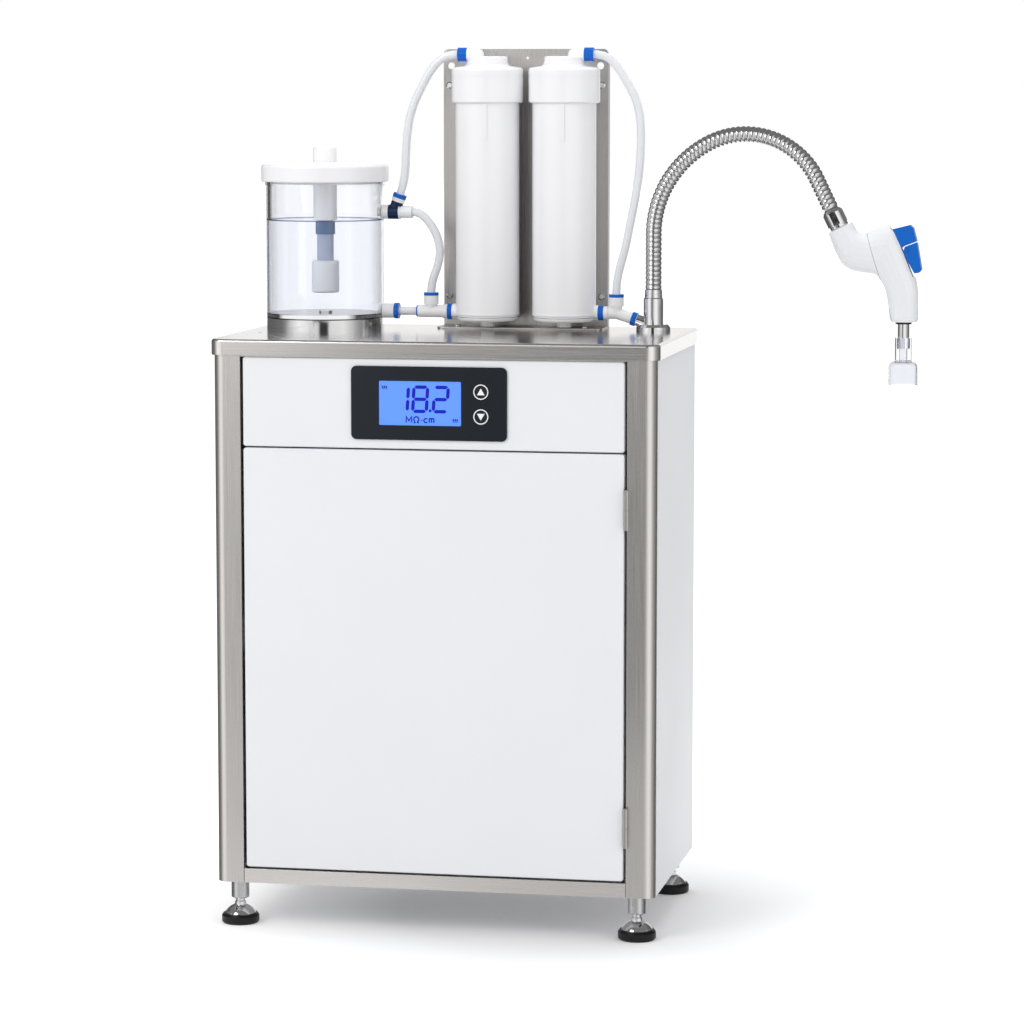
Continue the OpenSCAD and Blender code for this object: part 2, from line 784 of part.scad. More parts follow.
module display_bezel() {
    margin = 6.2;
    color(bezel_black) placed() difference() {
        union() {
            bezel_block(bezel_w, bezel_h, bezel_r, -bezel_proud, 0);
            bezel_block(bezel_w - 2 * margin, bezel_h - 2 * margin, 1, -eps, bezel_deep);
        }
        bezel_block(lcd_w, lcd_h, lcd_r, -bezel_proud - 1, bezel_deep + 1, lcd_dx);
        button_bores();
    }
}

module lcd_window() {
    rim = 4;
    w = lcd_w - 2 * running_gap;
    h = lcd_h - 2 * running_gap;
    color(lcd_blue) placed() union() {
        bezel_block(w, h, lcd_r, -bezel_proud + 0.6, bezel_deep + eps, lcd_dx);
        bezel_block(lcd_w + 2 * rim, lcd_h + 2 * rim, lcd_r, bezel_deep, board_y, lcd_dx);
    }
}

module control_board() {
    w = bezel_w - 20;
    h = bezel_h - 14;
    switch = 6;
    switch_h = board_y - (bezel_deep + 0.4 + button_travel + 0.2);
    color(board_green) placed() {
        translate([bezel_cx - w / 2, board_y, bezel_cz - h / 2]) cube([w, board_t, h]);
        for (z = button_zs)
            translate([bezel_cx + button_dx - switch / 2, board_y - switch_h, z - switch / 2])
                cube([switch, switch_h + eps, switch]);
        for (dx = [-w / 2 + 4, w / 2 - 4], dz = [-h / 2 + 4, h / 2 - 4])
            translate([bezel_cx + dx, bezel_deep, bezel_cz + dz])
                rotate([-90, 0, 0]) cylinder(h = board_y - bezel_deep + eps, r = 2.5);
    }
}

module push_button(z) {
    placed() translate([bezel_cx + button_dx, 0, z]) rotate([-90, 0, 0]) {
        translate([0, 0, -bezel_proud - button_proud])
            cylinder(h = bezel_proud + button_proud + shoulder_y + seat_gap + eps, d = button_dia);
        translate([0, 0, shoulder_y + seat_gap]) cylinder(h = flange_t, d = button_dia + 2.4);
        translate([0, 0, shoulder_y + flange_t]) cylinder(h = bezel_deep + 0.4 - shoulder_y - flange_t, r = 2);
    }
}

module up_button() {
    color(bezel_black) push_button(button_zs[0]);
}

module down_button() {
    color(bezel_black) push_button(button_zs[1]);
}

// ---- Door -------------------------------------------------------------------

module door_panel() {
    strike_z = door_z + door_h * 0.52;
    color(powder_white) placed() union() {
        upright_tray(opening_x, door_z, opening_w, door_h);
        translate([opening_x + door_t - eps, return_d - 1.5, strike_z]) cube([14, 1.5, 36]);
    }
}

module barrel(z0, z1, bore) {
    translate([hinge_x, hinge_y, z0]) difference() {
        cylinder(h = z1 - z0, d = barrel_dia);
        if (bore > 0) translate([0, 0, -1]) cylinder(h = z1 - z0 + 2, d = bore);
    }
}

module frame_hinge_halves() {
    color(steel) placed() for (z = hinge_zs) {
        mid = z + hinge_h / 2;
        union() {
            barrel(z, mid - seat_gap, 0);
            barrel_pin(z + 4, z + hinge_h - 2);
            translate([hinge_x - leaf_t, hinge_y, z]) cube([leaf_t, 18, hinge_h / 2 - seat_gap]);
        }
    }
}

module barrel_pin(z0, z1) {
    translate([hinge_x, hinge_y, z0]) cylinder(h = z1 - z0, d = hinge_pin_dia);
}

module door_hinge_halves() {
    bore = hinge_pin_dia + 2 * running_gap;
    color(steel) placed() for (z = hinge_zs) {
        mid = z + hinge_h / 2;
        difference() {
            union() {
                barrel(mid, z + hinge_h, 0);
                translate([hinge_x - gap, hinge_y, mid]) cube([leaf_t, 18, hinge_h / 2]);
            }
            translate([hinge_x, hinge_y, mid - 1]) cylinder(h = hinge_h, d = bore);
        }
    }
}

module door_catch() {
    z = door_z + door_h * 0.52;
    color(steel) placed() translate([post_w, return_d + slide_gap, z]) cube([gap + 14, 16, 36]);
}

// ---- Levelling feet ---------------------------------------------------------

module at_foot(left, front) {
    x = left ? foot_in_x : cab_w - foot_in_x;
    y = front ? foot_in_y : cab_d - foot_in_y;
    placed() translate([x, y, 0]) children();
}

module foot_sleeves() {
    color(steel) for (left = [true, false], front = [true, false])
        at_foot(left, front) translate([0, 0, leg_h - sleeve_h]) difference() {
            union() {
                translate([0, 0, 1]) cylinder(h = sleeve_h - 1, d = sleeve_dia);
                cylinder(h = 1, d1 = sleeve_dia - 2, d2 = sleeve_dia);
            }
            translate([0, 0, -1]) cylinder(h = sleeve_h + 2, d = spindle_dia + 2 * running_gap);
        }
}

// The dome sits in the pad's shallow cup
cup_deep = 1.5;
dome_z = pad_h - cup_deep;
dome_r = dome_dia / 2;

module spindle(left, front) {
    neck_r = spindle_dia / 2 + 1.4;
    neck_top_z = leg_h - sleeve_h - dome_z - 1;
    color(chrome) at_foot(left, front) translate([0, 0, dome_z]) rotate_extrude()
        union() {
            square([dome_r, 2]);
            intersection() {
                translate([0, 2 - dome_r * 0.55]) circle(dome_r * 1.141);
                translate([0, 2]) square([dome_r, 20]);
            }
            square([neck_r, neck_top_z - neck_r / 2]);
            intersection() {
                translate([0, neck_top_z - neck_r]) circle(neck_r);
                square([neck_r, neck_top_z]);
            }
            square([spindle_dia / 2, leg_h + 8 - dome_z]);
        }
}

module pad(left, front) {
    r = pad_dia / 2;
    cup_r = dome_r + seat_gap;
    lip = r - cup_r;
    color(rubber_black) at_foot(left, front) rotate_extrude()
        polygon([
            [0, 0], [r - 2, 0], [r, 2], [r, pad_h - 2.5], [r - lip / 2, pad_h],
            [cup_r + lip / 6, pad_h], [cup_r, pad_h - 1], [cup_r, dome_z], [0, dome_z]
        ]);
}

module front_left_spindle() { spindle(true, true); }
module front_right_spindle() { spindle(false, true); }
module rear_left_spindle() { spindle(true, false); }
module rear_right_spindle() { spindle(false, false); }
module front_left_pad() { pad(true, true); }
module front_right_pad() { pad(false, true); }
module rear_left_pad() { pad(true, false); }
module rear_right_pad() { pad(false, false); }

// ---- Inside the cabinet -----------------------------------------------------

module bulkhead_fittings() {
    color(plastic_white) placed()
        for (hole = [[feed_x, feed_z], [drain_x, drain_z]])
            translate([hole[0], rear_y, hole[1]]) rotate([-90, 0, 0]) difference() {
                union() {
                    translate([0, 0, -bulkhead_in]) cylinder(h = bulkhead_in, r = push_r - 0.6);
                    translate([0, 0, -6]) cylinder(h = 6, r = 12, $fn = 6);
                    translate([0, 0, -1]) cylinder(h = sheet_t + 2, r = push_r);
                    translate([0, 0, sheet_t]) cylinder(h = 5, r = 12);
                    translate([0, 0, sheet_t]) cylinder(h = bulkhead_out, r = push_r - 0.6);
                }
                translate([0, 0, sheet_t + bulkhead_out - 18]) cylinder(h = 20, r = tube_r + running_gap);
                translate([0, 0, -bulkhead_in - 1]) cylinder(h = 80, r = 3);
            }
}

module equipment_rail() {
    x0 = bowl_x0 - 45;
    x1 = bowl_x0 + 2 * bowl_step + 63;
    saddle_h = membrane_z - rail_z - bracket_t - membrane_dia / 2 + 12;
    color(powder_white) placed() difference() {
        union() {
            translate([x0, bracket_y, rail_z]) cube([x1 - x0, rear_y - bracket_y, bracket_t]);
            translate([x0, rear_y - bracket_t, rail_z - 60]) cube([x1 - x0, bracket_t, 62]);
            for (x = [membrane_x + 50, membrane_x + membrane_len - 70])
                translate([x, membrane_y - 22, rail_z + bracket_t - eps]) cube([20, 44, saddle_h]);
        }
        translate([0, membrane_y, membrane_z]) rod_x(0, cab_w, membrane_dia / 2 + running_gap);
    }
}

module prefilter_heads() {
    color(plastic_white) placed() for (i = [0 : 2])
        translate([bowl_x0 + i * bowl_step, bowl_y, 0]) union() {
            translate([0, 0, bowl_top]) cylinder(h = rail_z - bowl_top, r = head_r - 6);
            translate([0, 0, bowl_top]) cylinder(h = 8, r = head_r);
            translate([0, 0, head_port_z]) rod_x(-head_port, head_port, 11);
        }
}

module prefilter_bowls() {
    r = bowl_r;
    color(plastic_white) placed() for (i = [0 : 2])
        translate([bowl_x0 + i * bowl_step, bowl_y, bowl_top - bowl_h]) rotate_extrude()
            union() {
                translate([0, 14]) square([r, bowl_h - 14]);
                square([r - 14, 20]);
                intersection() {
                    translate([r - 14, 14]) circle(14);
                    square([r, 20]);
                }
                translate([0, bowl_h - 24]) square([head_r, 24]);
            }
}

module membrane_housing() {
    r = membrane_dia / 2;
    color(plastic_white) placed() translate([membrane_x, membrane_y, membrane_z]) {
        rod_x(0, membrane_len, r);
        rod_x(-10, 24, r + 4);
        rod_x(membrane_len - 24, membrane_len + 10, r + 4);
        rod_x(-membrane_stub, 0, 8);
        rod_x(membrane_len, membrane_len + membrane_stub, 8);
        translate([8, 0, 0]) rotate([-90, 0, 0]) cylinder(h = r + 12, r = 8);
    }
}

module booster_pump() {
    r = motor_dia / 2;
    z = base_z + 12 + r;
    color(bezel_black) placed() translate([pump_x - 40, pump_y, 0]) {
        translate([0, 0, z]) rotate([-90, 0, 0]) cylinder(h = 76, r = r);
        translate([-32, -38, z - 32]) cube([64, 40, 64]);
        translate([-30, -30, base_z]) cube([60, 96, 4]);
        for (y = [-20, 50]) translate([-20, y, base_z + 3]) cube([40, 6, 14]);
        for (x = [-20, 20]) translate([x, -20, z + 31]) cylinder(h = 13, r = 8);
    }
}

module power_supply() {
    color(steel) placed() translate([supply_x, rear_y, base_z]) {
        translate([0, -80, 0]) cube([110, 80, 52]);
        translate([20.3, -eps, 12.3]) cube([47.4, sheet_t + 1, 27.4]);
        difference() {
            translate([14, sheet_t, 8]) cube([60, 3, 36]);
            translate([24, sheet_t + 1, 15]) cube([40, 10, 22]);
        }
    }
}

module internal_pipes() {
    z = head_port_z;
    last_x = bowl_x0 + 2 * bowl_step + head_port;
    in_y = rear_y - bulkhead_in;
    pump_top = base_z + 12 + motor_dia / 2 + 44;
    pump_in = [pump_x - 20, pump_y - 20, pump_top];
    pump_out = [pump_x - 60, pump_y - 20, pump_top];
    end_x = membrane_x + membrane_len + membrane_stub;
    color(plastic_white) placed() {
        for (i = [0, 1]) translate([0, bowl_y, z])
            rod_x(bowl_x0 + i * bowl_step + head_port, bowl_x0 + (i + 1) * bowl_step - head_port, 7);
        solid_sweep(rounded_path([
            [feed_x, in_y, feed_z], [feed_x, 235, feed_z], [left_x, 235, feed_z + 30],
            [left_x, 235, z - 20], [left_x, bowl_y, z], [bowl_x0 - head_port, bowl_y, z]
        ], 8), pipe_r);
        solid_sweep(rounded_path([
            [last_x, bowl_y, z], [right_x, bowl_y, z], [right_x, bowl_y, 210],
            [pump_in[0], pump_in[1], 210], pump_in
        ], 12), pipe_r);
        solid_sweep(rounded_path([
            pump_out, [pump_out[0], pump_out[1], 186], [pump_out[0], 130, 186],
            [right_x + 16, 130, 230], [right_x + 16, membrane_y, membrane_z],
            [end_x, membrane_y, membrane_z]
        ], 12), pipe_r);
        solid_sweep(rounded_path([
            [membrane_x - membrane_stub, membrane_y, membrane_z], [left_x, membrane_y, membrane_z],
            [left_x, membrane_y, plate_under]
        ], 10), pipe_r);
        solid_sweep(rounded_path([
            [membrane_x + 8, membrane_y + membrane_dia / 2 + 12, membrane_z],
            [membrane_x + 8, rear_y - 14, membrane_z], [48, rear_y - 14, membrane_z],
            [48, rear_y - 14, drain_z + 40], [drain_x, in_y - 26, drain_z], [drain_x, in_y, drain_z]
        ], 8), pipe_r);
    }
}

// ---- Storage tank -----------------------------------------------------------

module at_tank(z) {
    placed() translate([tank_cx, service_y, z]) children();
}

module tank_base_ring() {
    r = tank_r;
    color(chrome) at_tank(cab_h) rotate_extrude() difference() {
        polygon([[r - 10, 0], [r, 0], [r, ring_h - 1], [r - 1, ring_h], [r - 10, ring_h]]);
        translate([r - 0.6, ring_h - 4]) square([1, 0.8]);
    }
}

module tank_vessel() {
    color(clear_plastic) placed() difference() {
        translate([tank_cx, service_y, tank_z]) rotate_extrude() union() {
            square([tank_r, tank_floor]);
            translate([tank_r - tank_wall, 0]) square([tank_wall, tank_h]);
            translate([tank_r - tank_wall, tank_h - 4]) square([tank_wall + 1.4, 4]);
            square([7.4, tank_floor + 2]);
        }
        for (z = [low_z, high_z]) translate([tank_cx, service_y, z])
            rod_x(tank_r - 12, tank_r + 5, 5 + running_gap);
    }
}

module tank_ports() {
    color(plastic_white) {
        placed() for (z = [low_z, high_z]) in_plane(tank_cx, z)
            ring_x(tank_r - tank_wall - 3, tank_r + 3, 5, 3);
        placed() in_plane(tank_cx + tank_r, low_z) {
            ring_x(0.1, tank_port_len, 8, 3);
            for (i = [0 : 3]) ring_x(1.5 + 3 * i, 2.7 + 3 * i, 8.4, 3);
        }
        placed() in_plane(tank_cx + tank_r, high_z) ring_x(0.1, 7.4, 8.2, 3);
        placed() in_plane(tank_tee_x, high_z) difference() {
            union() {
                ring_x(6.1, 7.6, 8.4, 3);
                ring_x(7.6, tank_tee_end - tank_tee_x, 7.2, tube_r + running_gap);
            }
            rotate([0, -branch_tilt, 0]) rod_x(0, 30, 7 + seat_gap);
        }
    }
}

module tank_tee() {
    color(navy) placed() in_plane(tank_tee_x, high_z) {
        rod_x(-6.1, 6.1, 8.3);
        rotate([0, -branch_tilt, 0]) rod_x(0, 12.5, 7);
    }
}

module tank_lid() {
    r = lid_r;
    crown = 2.5;
    rim = lid_h - crown;
    color(plastic_white) at_tank(lid_z) rotate_extrude() difference() {
        union() {
            square([r - 3.5, rim]);
            translate([0, 1]) square([r, rim - 4.5]);
            square([r - 1, 5]);
            translate([r - 3.5, rim - 3.5]) circle(3.5);
            polygon([[0, rim - eps], [r - 5, rim - eps], [r - 30, rim + crown * 0.7], [12, lid_h], [0, lid_h]]);
            translate([tank_r - tank_wall - slide_gap - 2, -2.5]) square([2, 3]);
        }
        translate([-1, -10]) square([guide_dia / 2 - 4 + 1, 60]);
    }
}

module guide_tube() {
    r = guide_dia / 2;
    knob_h = 17;
    color(plastic_white) at_tank(0) rotate_extrude() difference() {
        union() {
            translate([0, guide_z]) square([r, guide_len]);
            translate([0, lid_z - 1]) square([r - 4 - running_gap, lid_h + 2]);
            translate([0, lid_top]) square([r, knob_h - 3]);
            translate([0, lid_top]) square([r - 3, knob_h]);
            translate([r - 3, lid_top + knob_h - 3]) circle(3);
        }
        translate([-1, guide_z - 1]) square([12, guide_len - 5]);
    }
}

module float_stem() {
    r = stem_dia / 2;
    collar_top = guide_z + 12;
    collar_z = guide_z - collar_len - 2;
    bead_z = float_top - 3 - slide_gap - bead_h;
    color(water_blue) at_tank(0) rotate_extrude() union() {
        translate([0, collar_z]) square([10.9, collar_top - collar_z]);
        translate([0, bead_z]) square([r, collar_z - bead_z + 1]);
        translate([0, bead_z]) square([float_dia / 2 - float_wall - 0.6, bead_h]);
    }
}

module float_bottle() {
    r = float_dia / 2;
    z0 = float_top - float_len;
    color(plastic_white) at_tank(z0) rotate_extrude() difference() {
        union() {
            square([r - 3, float_len]);
            translate([0, 3]) square([r, float_len - 6]);
            for (z = [3, float_len - 3]) translate([r - 3, z]) circle(3);
        }
        translate([-1, float_wall]) square([r - float_wall + 1, float_len - float_wall - 3]);
        translate([-1, 5]) square([stem_dia / 2 + seat_gap + 1, float_len]);
    }
}

// ---- Filters and tubing -----------------------------------------------------

module filter_canisters() {
    r = can_r;
    cup_r = r - 1.1;
    round_r = 4.5;
    color(plastic_white) placed() {
        for (x = [can_x, can2_x]) translate([x, service_y, 0]) union() {
            translate([0, 0, can_z]) rotate_extrude() union() {
                square([cup_r - round_r, 10]);
                translate([cup_r - round_r, round_r]) circle(round_r);
                translate([0, round_r]) square([cup_r, 5]);
                translate([0, 7.4]) square([r + 0.4, 1.6]);
                translate([0, 9]) square([r, can_len - 9]);
            }
            translate([0, 0, cab_h + 3.5]) cylinder(h = can_lift - 3, d = 16.4, $fn = 12);
            rotate([0, 0, 6]) translate([-2.5, -r - 1.2, can_top - 42]) cube([5, 4, 42]);
        }
        in_plane(can_left_port, low_z) rod_x(0, stub_in + 6, 8.8);
        in_plane(can_right_port, low_z) rod_x(-stub_out - 6, 0, 8.8);
    }
}

module filter_caps() {
    r = cap_r;
    c = crown_r;
    shoulder_r = 4;
    shoulder_z = cap_h - shoulder_r - 1;
    lug_w = 26;
    arm_r = 6.3;
    arm_len = c + port_gap - 3;
    rise_x = 10.4;
    color(plastic_white) placed() for (side = [-1, 1]) {
        x = side < 0 ? can_x : can2_x;
        union() {
            translate([x, service_y, can_top]) rotate_extrude() difference() {
                union() {
                    polygon([[0, 0], [r - 1.5, 0], [r, 1.5], [r, shoulder_z], [0, shoulder_z]]);
                    translate([r - shoulder_r, shoulder_z]) circle(shoulder_r);
                    polygon([[0, shoulder_z], [r - shoulder_r, shoulder_z],
                             [r - shoulder_r, cap_h - 1], [c + 3.2, cap_h + 0.6],
                             [c + 1, cap_h + 2.4], [c, cap_h + 6], [0, cap_h + 6]]);
                    square([c, cap_h + crown_h - 2]);
                    square([c - 2, cap_h + crown_h]);
                    translate([c - 2, cap_h + crown_h - 2]) circle(2);
                }
                translate([r - 0.6, cap_h - 11]) square([1, 0.8]);
            }
            translate([x + side * rise_x, service_y, cap_port_z]) sphere(r = arm_r);
            translate([x + side * rise_x, service_y, crown_top - 4]) cylinder(h = 6, r = arm_r);
            in_plane(x, cap_port_z) if (side < 0) {
                rod_x(-arm_len, -rise_x, arm_r);
                rod_x(-arm_len - 3, -arm_len, 7.6);
            } else {
                rod_x(rise_x, arm_len, arm_r);
                rod_x(arm_len, arm_len + 3, 7.6);
            }
            translate([x - lug_w / 2, service_y + r - 8, can_top + 6])
                cube([lug_w, back_y - service_y - r + 8, 26]);
        }
    }
}

port_gap = 0.4;
function cap_port_end(side) = (side < 0 ? can_x : can2_x) + side * (crown_r + port_gap);
cap_collar_len = 10.6;

module fitting_ring(x0, len, r) {
    ring_x(x0, x0 + len, r, tube_r + running_gap);
}

module blue_collets() {
    color(collet_blue) placed() {
        in_plane(out_tube_x, low_z) fitting_ring(0, ring_len, 9);
        in_plane(tee1_x - 15, low_z) fitting_ring(-1.6, 1.6, fit_r - 0.4);
        in_plane(can_left_port, low_z) fitting_ring(-ring_len, ring_len, 9.3);
        in_plane(can_right_port, low_z) fitting_ring(0, ring_len + 1, push_r);
        for (x = [tee1_x, tee2_x]) in_plane(x, low_z, 90) fitting_ring(branch_h, branch_ring, push_r);
        in_plane(tee2_x, low_z, arm_heading) ring_x(arm_len, arm_len + arm_ring, 7.8, 3);
        in_plane(cap_port_end(-1), cap_port_z) fitting_ring(-cap_collar_len, cap_collar_len, 7.8);
        in_plane(cap_port_end(1), cap_port_z) fitting_ring(0, cap_collar_len, 7.8);
        in_plane(tank_tee_x, high_z, branch_tilt) fitting_ring(17, 4.6, 7.9);
    }
}

arm_drop = 13.5;
arm_heading = atan2(-arm_drop, neck_x - tee2_x);
arm_len = 18.5;
arm_ring = 5.6;
arm_union = arm_len + arm_ring + 0.6;

module branch_tees() {
    tee1_left = -15;
    tee1_right = can_left_port - ring_len - tee1_x;
    tee2_left = can_right_port + ring_len + 1 - tee2_x;
    color(plastic_white) placed() {
        in_plane(tee1_x, low_z) union() {
            difference() {
                union() {
                    rod_x(tee1_left, tee1_right, fit_r);
                    rod_x(tee1_right - 6, tee1_right, push_r - 0.4);
                }
                rod_x(tee1_left - 1, tee1_left + 8, tube_r + running_gap);
            }
            tee_branch();
        }
        in_plane(tee2_x, low_z) union() {
            rod_x(tee2_left, 0, fit_r - 0.4);
            rod_x(tee2_left, tee2_left + 5, push_r - 0.8);
            sphere(r = fit_r - 0.4);
            rotate([0, -arm_heading, 0]) rod_x(0, arm_len, fit_r - 0.6);
            tee_branch();
        }
        in_plane(tee2_x, low_z, arm_heading) rod_x(arm_len + arm_ring, arm_union, 6.6);
        in_plane(tank_tee_x, high_z, branch_tilt) ring_x(12.5, 17, 7.6, 3);
    }
}

module tee_branch() {
    rotate([0, -90, 0]) difference() {
        union() {
            rod_x(0, branch_h - 9, fit_r - 0.4);
            rod_x(branch_h - 10, branch_h, push_r - 0.2);
        }
        rod_x(branch_h - 7, branch_h + 1, tube_r + running_gap);
    }
}

// A smooth route in the service plane through knots [x, z, heading]. The handles of the
// curve between two knots are a little over a third of the distance between them.
function leg(a, b, steps) =
    let (p = [a[0], a[1]], q = [b[0], b[1]], k = 0.36 * norm(q - p))
    [for (i = [0 : steps - 1])
        curve_point(p, p + k * unit2(a[2]), q - k * unit2(b[2]), q, i / steps)];
// Knots between the ends have their x from the start and their z as a share of the climb
function knotted_route(start, between, end, in_start, in_end, steps) =
    let (inner = [for (k = between)
        [start[0] + k[0], start[1] + k[1] * (end[1] - start[1]), k[2]]])
    let (all = concat([start], inner, [end]))
    let (flat = concat(
        [[start[0], start[1]] - in_start * unit2(start[2])],
        [for (i = [0 : len(all) - 2]) each leg(all[i], all[i + 1], steps)],
        [[end[0], end[1]], [end[0], end[1]] + in_end * unit2(end[2])]))
    [for (p = flat) [p[0], service_y, p[1]]];
function knot_at(p, heading) = [p[0], p[1], heading];

branch_out = 22.5;
left_tall_route = knotted_route(
    knot_at([tank_tee_x, high_z] + branch_out * unit2(branch_tilt), branch_tilt),
    [[7.2, 0.37, 85], [20.5, 0.71, 63]],
    [cap_port_end(-1) - cap_collar_len - 4, cap_port_z, 0],
    branch_out - 17, cap_collar_len + 4, 7);
right_tall_route = knotted_route(
    [cap_port_end(1) + cap_collar_len + 3, cap_port_z, 0],
    [[38, 0.135, -58], [51, 0.38, -91], [35, 0.79, -101]],
    [tee2_x, low_z + branch_h + branch_ring + 3, -90],
    cap_collar_len + 3, branch_ring + 10, 6);
// The loop swings a little past its tee's axis on the way down
loop_start = tank_tee_end + 1.5;
loop_swing = tee1_x + 10.25 - loop_start;
loop_route = knotted_route(
    [loop_start, high_z, 0],
    [[0.54 * loop_swing, 0.11, -50], [loop_swing, 0.5, -88]],
    [tee1_x, low_z + branch_h + branch_ring + 2, -90],
    8.5, branch_ring + 9, 5);

module tall_tubes() {
    color(clear_plastic) placed() {
        tube_sweep(left_tall_route);
        tube_sweep(right_tall_route);
    }
}

module short_tubes() {
    color(clear_plastic) placed() {
        tube_sweep(loop_route);
        in_plane(out_tube_x, low_z) ring_x(0, tee1_x - 7 - out_tube_x, tube_r, tube_bore / 2);
    }
}

module backplate_hole(dx, dz, r) {
    translate([back_x + dx, back_y - 1, cab_h + dz]) rotate([-90, 0, 0]) cylinder(h = back_t + 2, r = r);
}

screw_r = 2;
edge_in = 7;
back_screws = [for (dz = [36, back_h - 41], dx = [edge_in, plate_w - edge_in]) [dx, dz]];
foot_screws = [22, plate_w - 22];
foot_deep = 44;
foot_screw_y = back_y - 29;

module filter_backplate() {
    fold = 12;
    foot_r = 7;
    color(steel) placed() difference() {
        union() {
            translate([back_x, back_y + back_t, cab_h]) rotate([90, 0, 0]) linear_extrude(back_t)
                union() {
                    rounded_square(plate_w, back_h, 6);
                    square([plate_w, 20]);
                }
            for (x = [0, plate_w - back_t])
                translate([back_x + x, back_y + eps, cab_h]) cube([back_t, fold, back_h - 10]);
            translate([back_x, back_y - foot_deep, cab_h]) linear_extrude(back_t) union() {
                rounded_square(plate_w, foot_deep, foot_r);
                translate([0, foot_r]) square([plate_w, foot_deep - foot_r + eps]);
            }
        }
        for (dx = [9, plate_w - 9]) backplate_hole(dx, back_h - 19, 4);
        for (s = back_screws) backplate_hole(s[0], s[1], screw_r + running_gap);
        backplate_hole(plate_w / 2 + 2, back_h - 10, 1.6);
        for (dx = foot_screws) translate([back_x + dx, foot_screw_y, cab_h - 1])
            cylinder(h = back_t + 2, r = screw_r + running_gap);
    }
}

module pan_screw(shank) {
    cylinder(h = shank, r = screw_r);
    translate([0, 0, -1.2]) cylinder(h = 1.2, r = screw_r * 2);
    translate([0, 0, -2.2]) cylinder(h = 1, r1 = screw_r * 1.3, r2 = screw_r * 2);
}

module panel_screws() {
    color(chrome) placed() {
        for (s = back_screws) translate([back_x + s[0], back_y, cab_h + s[1]])
            rotate([-90, 0, 0]) pan_screw(back_t + 4);
        for (dx = foot_screws) translate([back_x + dx, foot_screw_y, cab_h + back_t])
            rotate([180, 0, 0]) pan_screw(back_t);
        translate([tank_cx, service_y - tank_r, cab_h + ring_h / 2]) rotate([-90, 0, 0])
            translate([0, 0, -1]) cylinder(h = 1, r = 2.6);
    }
}

// ---- Gooseneck --------------------------------------------------------------

spigot_r = 6;
spigot_len = 18;

module gooseneck_base() {
    r = flange_dia / 2;
    c = neck_collar_dia / 2;
    flange_h = 8;
    color(chrome) placed() difference() {
        union() {
            translate([neck_x, service_y, cab_h]) rotate_extrude() polygon([
                [0, 0], [r, 0], [r, flange_h - 3], [r - 2.5, flange_h], [c, flange_h],
                [c, neck_collar_h - 5], [c - 1.2, neck_collar_h - 3.8], [c - 1.2, neck_collar_h],
                [0, neck_collar_h]
            ]);
            translate([neck_x, service_y, cab_h - 18]) cylinder(h = 19, r = 8);
            translate([neck_x, service_y, plate_under - 7]) cylinder(h = 7, r = 14, $fn = 6);
            in_plane(tee2_x, low_z, arm_heading)
                rod_x(arm_union, norm([neck_x - tee2_x, arm_drop]), 6.6);
        }
        translate([neck_x, service_y, neck_top - spigot_len - 2])
            cylinder(h = 40, r = spigot_r + running_gap);
    }
}

module at_hose_end() {
    placed() translate([hose_end[0], service_y, hose_end[1]])
        rotate([0, 90 - hose_end[2], 0]) children();
}

module hose_ferrules() {
    low_r = hose_dia / 2 + 0.5;
    nut_r = nut_dia / 2;
    color(chrome) {
        placed() translate([neck_x, service_y, neck_top]) difference() {
            union() {
                translate([0, 0, -spigot_len]) cylinder(h = spigot_len + 1, r = spigot_r);
                translate([0, 0, seat_gap]) cylinder(h = 5 - seat_gap + 0.2, r = low_r);
            }
            translate([0, 0, -30]) cylinder(h = 60, r = 4);
        }
        at_hose_end() difference() {
            union() {
                intersection() {
                    rotate_extrude() polygon([
                        [0, 0], [hose_dia / 2 + 0.4, 0], [nut_r, 3.4], [nut_r, nut_len - 4.4],
                        [0, nut_len - 4.4]
                    ]);
                    cylinder(h = nut_len, r = nut_r / cos(30) - 0.7, $fn = 6);
                }
                translate([0, 0, nut_len - 4.4]) cylinder(h = 3.4, r = nut_r - 0.9);
                translate([0, 0, nut_len - 1]) cylinder(h = 1, r1 = nut_r - 0.9, r2 = nut_r - 1.7);
            }
            translate([0, 0, -1]) cylinder(h = nut_len + 2, r = 4);
        }
    }
}

function hose_point(s) = let (p = hose_state(s)) [p[0], service_y, p[1]];

module gooseneck_hose() {
    bore_rows = ceil(hose_len / 12);
    path = [for (i = [0 : 2 * rib_count]) hose_point(i * rib_step / 2)];
    radii = [for (i = [0 : 2 * rib_count]) hose_dia / 2 - (i % 2 == 0 ? rib_depth : 0)];
    bore_path = [for (i = [0 : bore_rows]) hose_point(i * hose_len / bore_rows)];
    color(chrome) placed() bored_sweep(path, radii, bore_path, hose_bore / 2, 8);
}

// ---- Dispensing gun ---------------------------------------------------------

module at_gun() {
    placed() translate([nut_end[0], service_y, nut_end[1]])
        rotate([0, -gun_pitch - hose_end[2], 0]) children();
}

module flat_piece(outline, w, r) {
    rotate([90, 0, 0]) linear_extrude(w, center = true)
        offset(r = r, $fn = 24) offset(delta = -r) polygon(outline);
}

module gun_elbow() {
    color(plastic_white) at_gun() moulded_loft(elbow_sections, 3, 24);
}

module gun_body() {
    slot_w = trigger_w + 0.8;
    color(plastic_white) at_gun() difference() {
        moulded_loft(handle_sections, 2, 24);
        rotate([90, 0, 0]) linear_extrude(slot_w, center = true) polygon(slot_outline);
        translate([trigger_pivot[0], 0, trigger_pivot[1]]) rotate([90, 0, 0])
            cylinder(h = trigger_w + 5.6, r = trunnion_r + running_gap, center = true);
        translate([outlet_x, 0, handle_end - 1])
            cylinder(h = outlet_in + 1.5, r = outlet_dia / 2 + running_gap);
    }
}

module trigger_cap() {
    color(trigger_blue) at_gun() flat_piece(cap_outline, trigger_w, 1);
}

